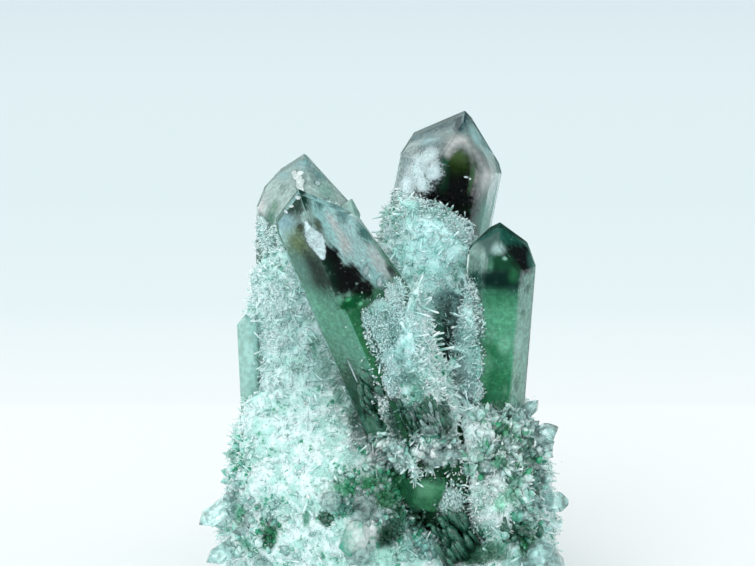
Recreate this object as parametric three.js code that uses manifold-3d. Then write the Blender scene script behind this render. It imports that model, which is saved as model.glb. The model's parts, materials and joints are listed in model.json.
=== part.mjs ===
// Green quartz cluster: four large quartz points, each with a coat of small crystals round its lower part,
// grown out of one base of small crystals that is cut off flat underneath.
// Lengths are millimetres and angles degrees. +Z is up, -Y is the front, and the finished cluster stands
// with the middle of its outline on the origin. Angles round a point run from its right (0) over its back
// (90) and its left (180) to its front (270). Each point is made in a frame of its own, with its foot as the
// origin and its axis as Z, and its mesh is placed by that frame.

import * as THREE from "three";
import { mergeVertices } from "three/addons/utils/BufferGeometryUtils.js";
import Module from "manifold-3d";

const wasm = await Module();
wasm.setup();
const { Manifold } = wasm;

// Quartz habit
const SIDES = 6;
const FACE_STEP = 360 / SIDES;
const TIP_SLOPE = 38.2; // between a tip face and the axis of its prism
const TAPER = 0.04; // share by which a prism is wider at its foot than at its shoulder

// Joints between pieces that grew against each other
const GAP = 0.3;
const SLIVER = 0.02; // detail finer than this that cutting leaves is merged away

// Coats
const COAT_COLUMNS = 22;
const COAT_RING_STEP = 4.4;
const COAT_ROUGH = 0.55; // how far a point of a coat stands in or out at random
const COAT_TUCK = 1.6; // how far a coat's ends are tucked into the prism
const COAT_BURIED = 5; // how far a coat runs on below the skin of the base
const FLARE_HEIGHT = 17; // how high the widened foot of a coat reaches

// The large points. foot and top are the ends of the axis, side is the width of a prism face, and turn
// rotates the prism about its axis. drop lowers the tip face above each prism face, from the one at 30
// degrees on; a face that is dropped more is larger. spread moves the prism faces out, from the same one on,
// and slope is given where a tip face is steeper than usual.
// reach is how high the coat climbs along the axis, cover how thick it is and flare how much thicker it is
// at its foot, each as pairs of an angle and a length; with a cover below nothing, the prism is bare.
// crystals is how many small crystals stand on the coat, and band adds some round a bare stretch, between
// two heights and two angles. beside lists thinner prisms that grew against the point.
const POINTS = {
  leaning_point: {
    foot: [19.6, -6.9, 6],
    top: [-15.6, -22.9, 92],
    side: 8.9,
    turn: 18,
    drop: [3, 5.6, -2.2, -0.1, -6, 6.8],
    spread: [3.2, 0, 0, 0, 0, 0],
    slope: { 5: 17 },
    reach: [[0, 64], [60, 64], [120, 58], [180, 40], [262, 40], [272, 62], [300, 60], [330, 63]],
    cover: [[0, 1.5], [90, 1.5], [150, 0.6], [185, -1.5], [263, -1.5], [276, 0.8], [330, 1.7]],
    flare: [[0, 0], [180, 0]],
    coatFrom: 31,
    crystals: 17,
    band: { heights: [29, 38], angles: [205, 300], crystals: 8 },
    beside: [],
    seed: 3,
  },
  right_point: {
    foot: [20.75, 0, 27],
    top: [24.4, -3.6, 80.4],
    side: 6.8,
    turn: 0,
    drop: [-1, 2.4, -0.2, 0.6, -6, 2.8],
    spread: [0, 0, 0, 0, 0, 0],
    reach: [[0, 15], [90, 36], [150, 38], [215, 38], [240, 34], [268, 16], [330, 14]],
    cover: [[0, -1], [40, 0.8], [90, 1.2], [200, 1.4], [232, 0.6], [250, -1.2], [340, -1.2]],
    flare: [[0, 0], [180, 0]],
    coatFrom: 11,
    crystals: 12,
    beside: [],
    seed: 5,
  },
  tall_point: {
    foot: [-0.2, 11.5, 12],
    top: [16.9, 13.4, 101.8],
    side: 10.3,
    turn: 0,
    drop: [0.8, 2.3, -14, 3.8, 1.6, 2.6],
    spread: [0, 0, 1.4, -0.7, 0, 0],
    reach: [[0, 56], [90, 64], [180, 70], [215, 72], [270, 69], [315, 64]],
    cover: [[0, 1.3], [90, 1.6], [180, 1.7], [270, 1.5]],
    flare: [[0, 2], [90, 3], [180, 1.5], [270, 2.5]],
    coatFrom: 28,
    crystals: 32,
    beside: [],
    seed: 7,
  },
  left_point: {
    foot: [-16.3, 10.5, 10],
    top: [-15.7, 10, 91.8],
    side: 9.9,
    turn: 4,
    drop: [0.6, 0.6, -2.4, 1.8, 1, 1.8],
    spread: [0, 0, 0, -0.4, 0, 0],
    reach: [[0, 66], [90, 60], [160, 56], [185, 60], [215, 63], [270, 69]],
    cover: [[0, 1.4], [90, 1.6], [180, 1.7], [270, 1.6]],
    flare: [[0, 3], [90, 3], [150, 1], [200, 0.5], [270, 5]],
    coatFrom: 26,
    crystals: 33,
    beside: [
      { from: [-26.6, 6, 34], towards: [-0.04, -0.02, 1], length: 25, side: 2 },
      { from: [-9, 9, 70], towards: [0.26, 0, 1], length: 12.5, side: 2.5 },
      { from: [-8, 12, 66], towards: [0.36, 0.1, 1], length: 12, side: 2 },
    ],
    seed: 11,
  },
};

// The base, as half-widths to the left, right, front and back at each height. It is a mass of small
// crystals, and its skin stands in and out at random.
const BASE_RINGS = [
  { z: 0, left: 27, right: 30, front: 21, back: 22 },
  { z: 5, left: 31, right: 34, front: 24.6, back: 25.6 },
  { z: 11, left: 32, right: 34.6, front: 26, back: 28 },
  { z: 17, left: 32.4, right: 34.6, front: 26, back: 29 },
  { z: 23, left: 32, right: 34, front: 25.6, back: 29.2 },
  { z: 29, left: 30.8, right: 33.2, front: 24, back: 28.8 },
  { z: 35, left: 29.4, right: 31.6, front: 20.5, back: 28 },
  { z: 41, left: 27.4, right: 28.6, front: 13.4, back: 26.6 },
  { z: 45, left: 21, right: 20, front: 6, back: 21 },
];
const BASE_COLUMNS = 36;
const BASE_SQUARENESS = 2.35;
const BASE_ROUGH = 1;
const BASE_LUMP = 1.5;
const BASE_CRYSTALS = 76;
const BASE_SEED = 19;

// The valley down the front of the base, in which the lower part of the leaning point lies bare. It runs
// along the left of the point's axis.
const VALLEY = { depth: 13, floor: 4, rim: 8.5, from: 12, full: 21, left: 1.5 };
const VALLEY_BARE = 0.3; // no small crystals stand where the valley is deeper than this

// The small crystals of the coats and the base. Some are prisms with a pointed end, the others spikes.
const SMALL = { radius: [0.8, 1.7], length: [3.8, 6.8], spread: 0.75, buried: 0.42, prisms: 0.4, tip: 1.5 };

// Single crystals that stand out of the base: where each starts, the way it points, its length and the
// width of a face.
const SIDE_CRYSTALS = [
  { from: [-28.5, -9, 24], towards: [-0.78, -0.25, -0.52], length: 10.5, side: 2 },
  { from: [-28, -10, 15], towards: [-0.8, -0.3, -0.42], length: 9, side: 2 },
  { from: [-8.5, -20, 12], towards: [0.42, -0.62, 0.66], length: 11, side: 2.7 },
  { from: [-11, -20, 26], towards: [0.3, -0.9, 0.25], length: 8, side: 2.2 },
  { from: [-4, -19, 25], towards: [0.2, -0.95, 0.1], length: 8.4, side: 2.4 },
  { from: [27, -12, 13], towards: [0.62, -0.7, -0.12], length: 14, side: 4.2 },
  { from: [28, -4, 33], towards: [0.83, -0.25, 0.5], length: 9.5, side: 2.2 },
  { from: [27, -3, 38], towards: [0.7, -0.1, 0.7], length: 7, side: 1.5 },
  { from: [30, -6, 22], towards: [0.93, -0.3, 0.1], length: 8.5, side: 2 },
  { from: [4, -19, 8], towards: [0.15, -0.8, 0.58], length: 10, side: 2.6 },
  { from: [-21, -16, 12], towards: [-0.4, -0.85, 0.2], length: 9, side: 2.2 },
  { from: [4, 20, 26], towards: [0.2, 0.7, 0.68], length: 17, side: 3.6 },
  { from: [-12, 19, 20], towards: [-0.3, 0.8, 0.5], length: 15, side: 3 },
  { from: [20, 15, 26], towards: [0.6, 0.55, 0.58], length: 16, side: 3.4 },
];
const SIDE_DROP = [0.5, 0, 0.7, 0.2, 0, 0.9];

const radians = THREE.MathUtils.degToRad;
const cosine = (degrees) => Math.cos(radians(degrees));
const sine = (degrees) => Math.sin(radians(degrees));
const { smoothstep } = THREE.MathUtils;

// A repeatable source of numbers from 0 to 1.
function randomFrom(seed) {
  let state = seed * 7919 + 1;
  return () => {
    state = (state * 1664525 + 1013904223) % 4294967296;
    return state / 4294967296;
  };
}

// A number between the two ends of a range.
const within = ([low, high], share) => low + (high - low) * share;

// Reads a table of angle and length pairs at any angle, going round past 360.
function readRound(table, angle) {
  const turn = ((angle % 360) + 360) % 360;
  const after = table.find(([at]) => at > turn) ?? [table[0][0] + 360, table[0][1]];
  const before = table.findLast(([at]) => at <= turn) ?? [table.at(-1)[0] - 360, table.at(-1)[1]];
  const share = (turn - before[0]) / (after[0] - before[0]);
  return within([before[1], after[1]], share);
}

// A closed three.js geometry as a solid that can be joined and cut.
function solidOf(geometry) {
  const plain = new THREE.BufferGeometry()
    .setAttribute("position", geometry.getAttribute("position"))
    .setIndex(geometry.index);
  const merged = mergeVertices(plain, 1e-4);
  return new Manifold(
    new wasm.Mesh({
      numProp: 3,
      vertProperties: new Float32Array(merged.getAttribute("position").array),
      triVerts: new Uint32Array(merged.index.array),
    }),
  );
}

// A solid as a flat-shaded three.js geometry.
function geometryOf(solid) {
  const { numProp, numVert, vertProperties, triVerts } = solid.getMesh();
  const points = new Float32Array(numVert * 3);
  for (let i = 0; i < numVert; i++) {
    points.set(vertProperties.subarray(i * numProp, i * numProp + 3), i * 3);
  }
  const geometry = new THREE.BufferGeometry()
    .setAttribute("position", new THREE.BufferAttribute(points, 3))
    .setIndex(new THREE.BufferAttribute(triVerts, 1))
    .toNonIndexed();
  geometry.computeVertexNormals();
  return geometry;
}

// The frame of a crystal: its foot is the origin, and its axis is local Z.
function crystalFrame(foot, towards, turn = 0) {
  const along = new THREE.Vector3(...towards).normalize();
  const hint = Math.abs(along.x) > 0.9 ? new THREE.Vector3(0, 1, 0) : new THREE.Vector3(1, 0, 0);
  const back = new THREE.Vector3().crossVectors(along, hint).normalize();
  const right = new THREE.Vector3().crossVectors(back, along);
  return new THREE.Matrix4()
    .makeBasis(right, back, along)
    .setPosition(...foot)
    .multiply(new THREE.Matrix4().makeRotationZ(radians(turn)));
}

// Which way a prism face looks, as an angle.
const faceAngle = (i) => FACE_STEP / 2 + i * FACE_STEP;

// How far a prism face is from the axis at the shoulder.
const faceDistance = ({ side, spread }, i) => side * cosine(FACE_STEP / 2) + (spread?.[i] ?? 0);

// A crystal in its own frame: a blank cut by the six faces of the prism and the six of the tip.
function pointedPrism(spec, length, grow = 0) {
  const blank = new THREE.CylinderGeometry(spec.side * 3, spec.side * 3, length, SIDES);
  let solid = solidOf(blank.rotateX(Math.PI / 2).translate(0, 0, length / 2));
  for (let i = 0; i < SIDES; i++) {
    const around = [cosine(faceAngle(i)), sine(faceAngle(i))];
    const wall = new THREE.Vector3(...around, (spec.side * TAPER) / length);
    const tip = new THREE.Vector3(...around, Math.tan(radians(spec.slope?.[i] ?? TIP_SLOPE)));
    const faces = [
      [wall, faceDistance(spec, i) + spec.side * TAPER],
      [tip, tip.z * (length - spec.drop[i])],
    ];
    for (const [outwards, distance] of faces) {
      const size = outwards.length();
      solid = solid.trimByPlane(outwards.divideScalar(-size).toArray(), -distance / size - grow);
    }
  }
  return solid;
}

// How far the surface of a prism is from its axis, seen at an angle.
function prismRadius(spec, angle) {
  const reaches = Array.from({ length: SIDES }, (_, i) => {
    const across = cosine(angle - faceAngle(i));
    return across > 0.1 ? faceDistance(spec, i) / across : Infinity;
  });
  return Math.min(...reaches);
}

// A closed skin of rings: place gives the point for a column, as an angle, and a ring, as a share of the
// height from 0 to 1.
function skin(columns, rings, place) {
  const geometry = new THREE.CylinderGeometry(1, 1, 1, columns, rings);
  geometry.rotateX(Math.PI / 2);
  const merged = mergeVertices(
    new THREE.BufferGeometry()
      .setAttribute("position", geometry.getAttribute("position"))
      .setIndex(geometry.index),
    1e-4,
  );
  const position = merged.getAttribute("position");
  const point = new THREE.Vector3();
  for (let i = 0; i < position.count; i++) {
    point.fromBufferAttribute(position, i);
    const middle = Math.hypot(point.x, point.y) < 0.5;
    const angle = THREE.MathUtils.radToDeg(Math.atan2(point.y, point.x));
    const placed = place(angle, point.z + 0.5, middle);
    position.setXYZ(i, placed.x, placed.y, placed.z);
  }
  return solidOf(merged);
}

// Where the surface of a coat is, in its point's frame, with no roughness.
function coatPlace(spec, angle, height) {
  const cover = readRound(spec.cover, angle + spec.turn);
  const foot = 1 - smoothstep(height, spec.coatFrom, spec.coatFrom + FLARE_HEIGHT);
  const radius = prismRadius(spec, angle) + cover + readRound(spec.flare, angle + spec.turn) * foot;
  return new THREE.Vector3(cosine(angle) * radius, sine(angle) * radius, height);
}

// The coat of a large point, in the point's frame: a rough sleeve whose ends are tucked into the prism.
function coat(spec, grow = 0) {
  const random = randomFrom(spec.seed);
  const tallest = Math.max(...spec.reach.map(([, height]) => height));
  const rings = Math.round((tallest - spec.coatFrom) / COAT_RING_STEP);
  return skin(COAT_COLUMNS, rings, (angle, share, middle) => {
    const top = readRound(spec.reach, angle + spec.turn);
    const end = share < 0.001 || share > 0.999;
    const height = within([spec.coatFrom, top], share);
    const rough = (random() - 0.5) * 2 * COAT_ROUGH;
    const slide = (random() - 0.5) * COAT_RING_STEP * 0.5;
    if (middle) return new THREE.Vector3(0, 0, height);
    const point = coatPlace(spec, angle, end ? height : height + slide);
    const radius = Math.hypot(point.x, point.y);
    const wanted = end ? prismRadius(spec, angle) - COAT_TUCK : radius + rough + grow;
    return point.multiply(new THREE.Vector3(wanted / radius, wanted / radius, 1));
  });
}

// A small crystal that stands on the origin and points up its own Z: a spike, or a prism with a tip.
function smallCrystal(radius, length, pointed, grow = 0) {
  const [wide, tall] = [radius + grow, length + grow];
  const profile = [new THREE.Vector2(0, 0), new THREE.Vector2(wide, 0), new THREE.Vector2(0, tall)];
  if (!pointed) profile.splice(2, 0, new THREE.Vector2(wide, tall - radius * SMALL.tip));
  return solidOf(new THREE.LatheGeometry(profile, SIDES).rotateX(Math.PI / 2));
}

// Small crystals scattered by a chooser, which gives a place and an outward direction for each.
function scatter(count, random, choose, grow = 0) {
  return Array.from({ length: count }, () => {
    const { place, outwards } = choose(random);
    const tilt = new THREE.Vector3(random() - 0.5, random() - 0.5, random() - 0.5);
    const towards = outwards.clone().normalize().addScaledVector(tilt, SMALL.spread * 2);
    const radius = within(SMALL.radius, random() ** 2);
    const length = within(SMALL.length, random());
    const from = place.clone().addScaledVector(towards.clone().normalize(), -length * SMALL.buried);
    const frame = crystalFrame(from.toArray(), towards.toArray(), random() * FACE_STEP);
    return smallCrystal(radius, length, random() > SMALL.prisms, grow).transform(frame.elements);
  });
}

// Picks a place on the coat of a point for a small crystal, where the coat covers the prism.
function chooseOnCoat(spec, draw) {
  const low = spec.coatFrom + COAT_BURIED;
  for (;;) {
    const angle = draw() * 360;
    const top = readRound(spec.reach, angle + spec.turn) - 1.5;
    const height = within([low, top], draw());
    const covered = readRound(spec.cover, angle + spec.turn) > 0.4;
    if (covered && top > low) {
      const outwards = new THREE.Vector3(cosine(angle), sine(angle), 0.35);
      return { place: coatPlace(spec, angle, height), outwards };
    }
  }
}

// Picks a place on the bare prism of a point for a small crystal of its band.
function chooseInBand(spec, draw) {
  const angle = within(spec.band.angles, draw()) - spec.turn;
  const height = within(spec.band.heights, draw());
  const radius = prismRadius(spec, angle);
  const place = new THREE.Vector3(cosine(angle) * radius, sine(angle) * radius, height);
  return { place, outwards: new THREE.Vector3(cosine(angle), sine(angle), 0.2) };
}

// A single crystal given by where it starts and the way it points.
function singleCrystal({ from, towards, length, side }, grow = 0) {
  const frame = crystalFrame(from, towards, 10);
  return pointedPrism({ side, drop: SIDE_DROP }, length, grow).transform(frame.elements);
}

// The frame of a large point, and how long the point is.
function pointFrame({ foot, top, turn }) {
  const axis = new THREE.Vector3(...top).sub(new THREE.Vector3(...foot));
  return { frame: crystalFrame(foot, axis.toArray(), turn), length: axis.length() };
}

// A large point with its coat and the crystals on and beside it, in the frame of the cluster.
function coatedPoint(spec, grow = 0) {
  const { frame, length } = pointFrame(spec);
  const random = randomFrom(spec.seed + 100);
  const onCoat = scatter(spec.crystals, random, (draw) => chooseOnCoat(spec, draw), grow);
  const inBand = scatter(spec.band?.crystals ?? 0, random, (draw) => chooseInBand(spec, draw), grow);
  const upright = [pointedPrism(spec, length, grow), coat(spec, grow), ...onCoat, ...inBand];
  const beside = spec.beside.map((crystal) => singleCrystal(crystal, grow));
  return Manifold.union([Manifold.union(upright).transform(frame.elements), ...beside]);
}

// How deep in the valley a place on the front of the base is, from 0 on its rim to 1 on its floor.
function inValley(place) {
  if (place.y > 0) return 0;
  const { foot, top } = POINTS.leaning_point;
  const share = (place.z - foot[2]) / (top[2] - foot[2]);
  const aside = Math.abs(place.x + VALLEY.left - within([foot[0], top[0]], share));
  return (1 - smoothstep(aside, VALLEY.floor, VALLEY.rim)) * smoothstep(place.z, VALLEY.from, VALLEY.full);
}

// Where the skin of the base is, with no roughness.
function basePlace(angle, height) {
  const upper = Math.max(1, BASE_RINGS.findIndex((ring) => ring.z >= height));
  const [low, high] = [BASE_RINGS[upper - 1], BASE_RINGS[upper]];
  const share = (height - low.z) / (high.z - low.z);
  const size = (name) => within([low[name], high[name]], share);
  const [x, y] = [cosine(angle), sine(angle)];
  const wide = x < 0 ? size("left") : size("right");
  const deep = y < 0 ? size("front") : size("back");
  const power = 2 / BASE_SQUARENESS;
  const [waves, bands] = [radians(angle * 7) + height * 0.33, radians(angle * 4) - height * 0.2];
  const lump = BASE_LUMP * Math.sin(waves) * Math.cos(bands);
  const place = new THREE.Vector3(
    Math.sign(x) * Math.abs(x) ** power * (wide + lump),
    Math.sign(y) * Math.abs(y) ** power * (deep + lump),
    height,
  );
  place.y += VALLEY.depth * inValley(place);
  return place;
}

// Picks a place on the base for a small crystal, outside the valley.
function chooseOnBase(draw) {
  for (;;) {
    const angle = draw() * 360;
    const height = within([3, 43], draw());
    const place = basePlace(angle, height);
    const outwards = new THREE.Vector3(place.x, place.y * 1.4, (height - 14) * 0.5);
    if (inValley(place) < VALLEY_BARE) return { place, outwards };
  }
}

// The mass of the base with its small crystals, before the large points are cut out of it.
function baseMass() {
  const random = randomFrom(BASE_SEED);
  const rings = BASE_RINGS.length - 1;
  const body = skin(BASE_COLUMNS, rings, (angle, share, middle) => {
    const height = BASE_RINGS[Math.round(share * rings)].z;
    const rough = (random() - 0.5) * 2 * BASE_ROUGH;
    const rise = (random() - 0.5) * 2 * BASE_ROUGH;
    if (middle) return new THREE.Vector3(0, 0, height);
    const point = basePlace(angle, height);
    const radius = Math.hypot(point.x, point.y);
    const pushed = (radius + rough) / radius;
    return point.multiply(new THREE.Vector3(pushed, pushed, 1)).setZ(height > 0 ? height + rise : 0);
  });
  const small = scatter(BASE_CRYSTALS, random, chooseOnBase);
  const single = SIDE_CRYSTALS.map((crystal) => singleCrystal(crystal));
  return Manifold.union([body, ...small, ...single]).trimByPlane([0, 0, 1], 0);
}

// Cuts the pieces that a piece grew against out of it, with a gap, and keeps its largest part.
function settle(piece, neighbours) {
  const cut = neighbours.length ? piece.subtract(Manifold.union(neighbours)) : piece;
  const parts = cut.simplify(SLIVER).decompose();
  return parts.reduce((most, part) => (part.volume() > most.volume() ? part : most));
}

// A named mesh with a quartz material. Its solid is given in the frame of the cluster, and the mesh holds
// it in a frame of its own.
function pieceOf(name, solid, frame, { color, roughness }) {
  const geometry = geometryOf(solid).applyMatrix4(frame.clone().invert());
  const material = new THREE.MeshStandardMaterial({ color, roughness, metalness: 0 });
  const mesh = new THREE.Mesh(geometry, material);
  mesh.name = name;
  mesh.applyMatrix4(frame);
  return mesh;
}

const CLEAR_QUARTZ = { color: 0x7fae9c, roughness: 0.1 };
const DRUSE = { color: 0xbfdeda, roughness: 0.45 };

const cluster = new THREE.Group();
const cutters = [];
for (const [name, spec] of Object.entries(POINTS)) {
  const solid = settle(coatedPoint(spec), cutters);
  cluster.add(pieceOf(name, solid, pointFrame(spec).frame, CLEAR_QUARTZ));
  cutters.push(coatedPoint(spec, GAP));
}
cluster.add(pieceOf("base", settle(baseMass(), cutters), new THREE.Matrix4(), DRUSE));

// The middle of the outline goes over the origin
const middle = new THREE.Box3().setFromObject(cluster, true).getCenter(new THREE.Vector3());
cluster.position.set(-middle.x, -middle.y, 0);

export default cluster;
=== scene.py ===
"""Green quartz cluster: four large clear points with green inside, coated with fine needles, on one base.

Sizes are millimetres and angles degrees, and each mesh is brought to metres when it is finished.
"""

import json
import logging
import math
from dataclasses import dataclass, field, replace
from enum import Enum

import bpy
import numpy as np
from mathutils import Matrix, Vector
from mathutils.bvhtree import BVHTree

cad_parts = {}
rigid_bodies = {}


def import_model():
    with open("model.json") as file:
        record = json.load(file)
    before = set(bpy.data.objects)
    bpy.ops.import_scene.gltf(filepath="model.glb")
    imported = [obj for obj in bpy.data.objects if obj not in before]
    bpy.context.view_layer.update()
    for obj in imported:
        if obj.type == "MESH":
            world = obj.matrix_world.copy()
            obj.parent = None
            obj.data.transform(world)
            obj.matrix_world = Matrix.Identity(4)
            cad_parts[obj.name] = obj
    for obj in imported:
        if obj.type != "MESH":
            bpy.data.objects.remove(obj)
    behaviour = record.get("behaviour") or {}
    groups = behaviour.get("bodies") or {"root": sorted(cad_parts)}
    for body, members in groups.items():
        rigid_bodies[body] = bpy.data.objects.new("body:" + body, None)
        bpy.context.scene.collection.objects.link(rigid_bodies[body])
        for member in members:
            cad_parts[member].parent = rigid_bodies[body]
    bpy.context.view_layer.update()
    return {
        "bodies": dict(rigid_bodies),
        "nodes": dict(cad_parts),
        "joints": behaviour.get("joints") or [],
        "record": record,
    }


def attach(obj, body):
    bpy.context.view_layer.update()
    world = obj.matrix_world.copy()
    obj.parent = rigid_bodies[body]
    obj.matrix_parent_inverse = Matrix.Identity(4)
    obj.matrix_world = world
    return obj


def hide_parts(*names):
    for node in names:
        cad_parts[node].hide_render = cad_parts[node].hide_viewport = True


LOG = logging.getLogger("quartz_cluster")

MM = 0.001
BODY = "root"

Triple = tuple[float, float, float]
Six = tuple[float, float, float, float, float, float]
Socket = bpy.types.NodeSocket
Value = float | Triple | Socket
Inputs = dict[str | int, Value]
Stop = tuple[float, Triple]
Places = tuple[np.ndarray, np.ndarray]

# Quartz habit and optics, and how the faces of a small crystal lie where it doesn't say
SIDES = 6
FACE_STEP = 60.0
TIP_SLOPE = 38.2
TAPER = 0.04
QUARTZ_IOR = 1.544
EVEN: Six = (0.0, 0.0, 0.0, 0.0, 0.0, 0.0)
SIDE_TURN = 10.0
SIDE_DROP: Six = (0.5, 0.0, 0.7, 0.2, 0.0, 0.9)
# Where the finished cluster's frame lies in the frame that its parts are given in
SHIFT = Vector((-0.4773, -1.2881, 0.0))
# No needle reaches lower than this over the table
LOWEST = 0.05
# The attribute that is 0 at a crystal's foot and 1 at its tip
GROWN = "grown"
# A crust never reaches further than this into a neighbouring solid
DEEPEST = 2.0
# A bed with more needles than this is made in two halves, front and back
MOST_NEEDLES = 14000
# The relief of a crust's skin: the name, size and height of each layer
RELIEF = (("lumps", 2.4, 0.6), ("grains", 0.8, 0.3))
# What is added to a bed's seed to draw its places on a crust, in a fringe and in coated patches
CRUST_DRAW = 50
FRINGE_DRAW = 70
FUR_DRAW = 80
# How strongly the needles of a bed tend to be short and thin
SHORTNESS = 2.4
THINNESS = 1.6
# The way the crystals of the sheaf in front point
FORWARD = (-0.7, -0.9, 1.5)

# Linear colours that several clouds share
WHITE = (0.93, 0.93, 0.93)
BLACK = (0.003, 0.003, 0.003)
COAT = (0.365, 0.608, 0.567)
COAT_DEEP = (0.237, 0.505, 0.442)
FROST = (0.549, 0.677, 0.704)
FROST_DEEP = (0.483, 0.633, 0.646)
GLINT = (0.602, 0.697, 0.697)


class Crystals(Enum):
    """What the crystals of the crusts are like."""

    SKIN = "skin"
    NEEDLES = "needles"
    STUBS = "stubs"
    CLEAR = "clear"
    GREEN = "green"
    DEEP = "deep"
    BODY = "body"


class Slot(Enum):
    """The record's material slots."""

    CLEAR = "clear_quartz"
    DRUSE = "druse"


# Materials


@dataclass(frozen=True)
class Cloud:
    """A soft patch of colour in a point's frame or, on a crust, in the cluster's: its centre and half sizes.

    cover is how much it hides, ragged how uneven its rim is, and soft how wide the rim is.
    """

    centre: Triple
    size: Triple
    colour: Triple
    cover: float = 1.0
    ragged: float = 0.5
    soft: float = 0.5


def alike(colour: Triple, rim: Triple, *places: tuple[Triple, Triple]) -> list[Cloud]:
    """Gives clouds that share a colour and a rim.

    Args:
        colour: Their colour.
        rim: Their cover, how ragged their rims are and how soft.
        places: The centre and the half sizes of each.

    Returns:
        The clouds, in the same order.
    """
    return [Cloud(centre, size, colour, *rim) for centre, size in places]


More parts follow.
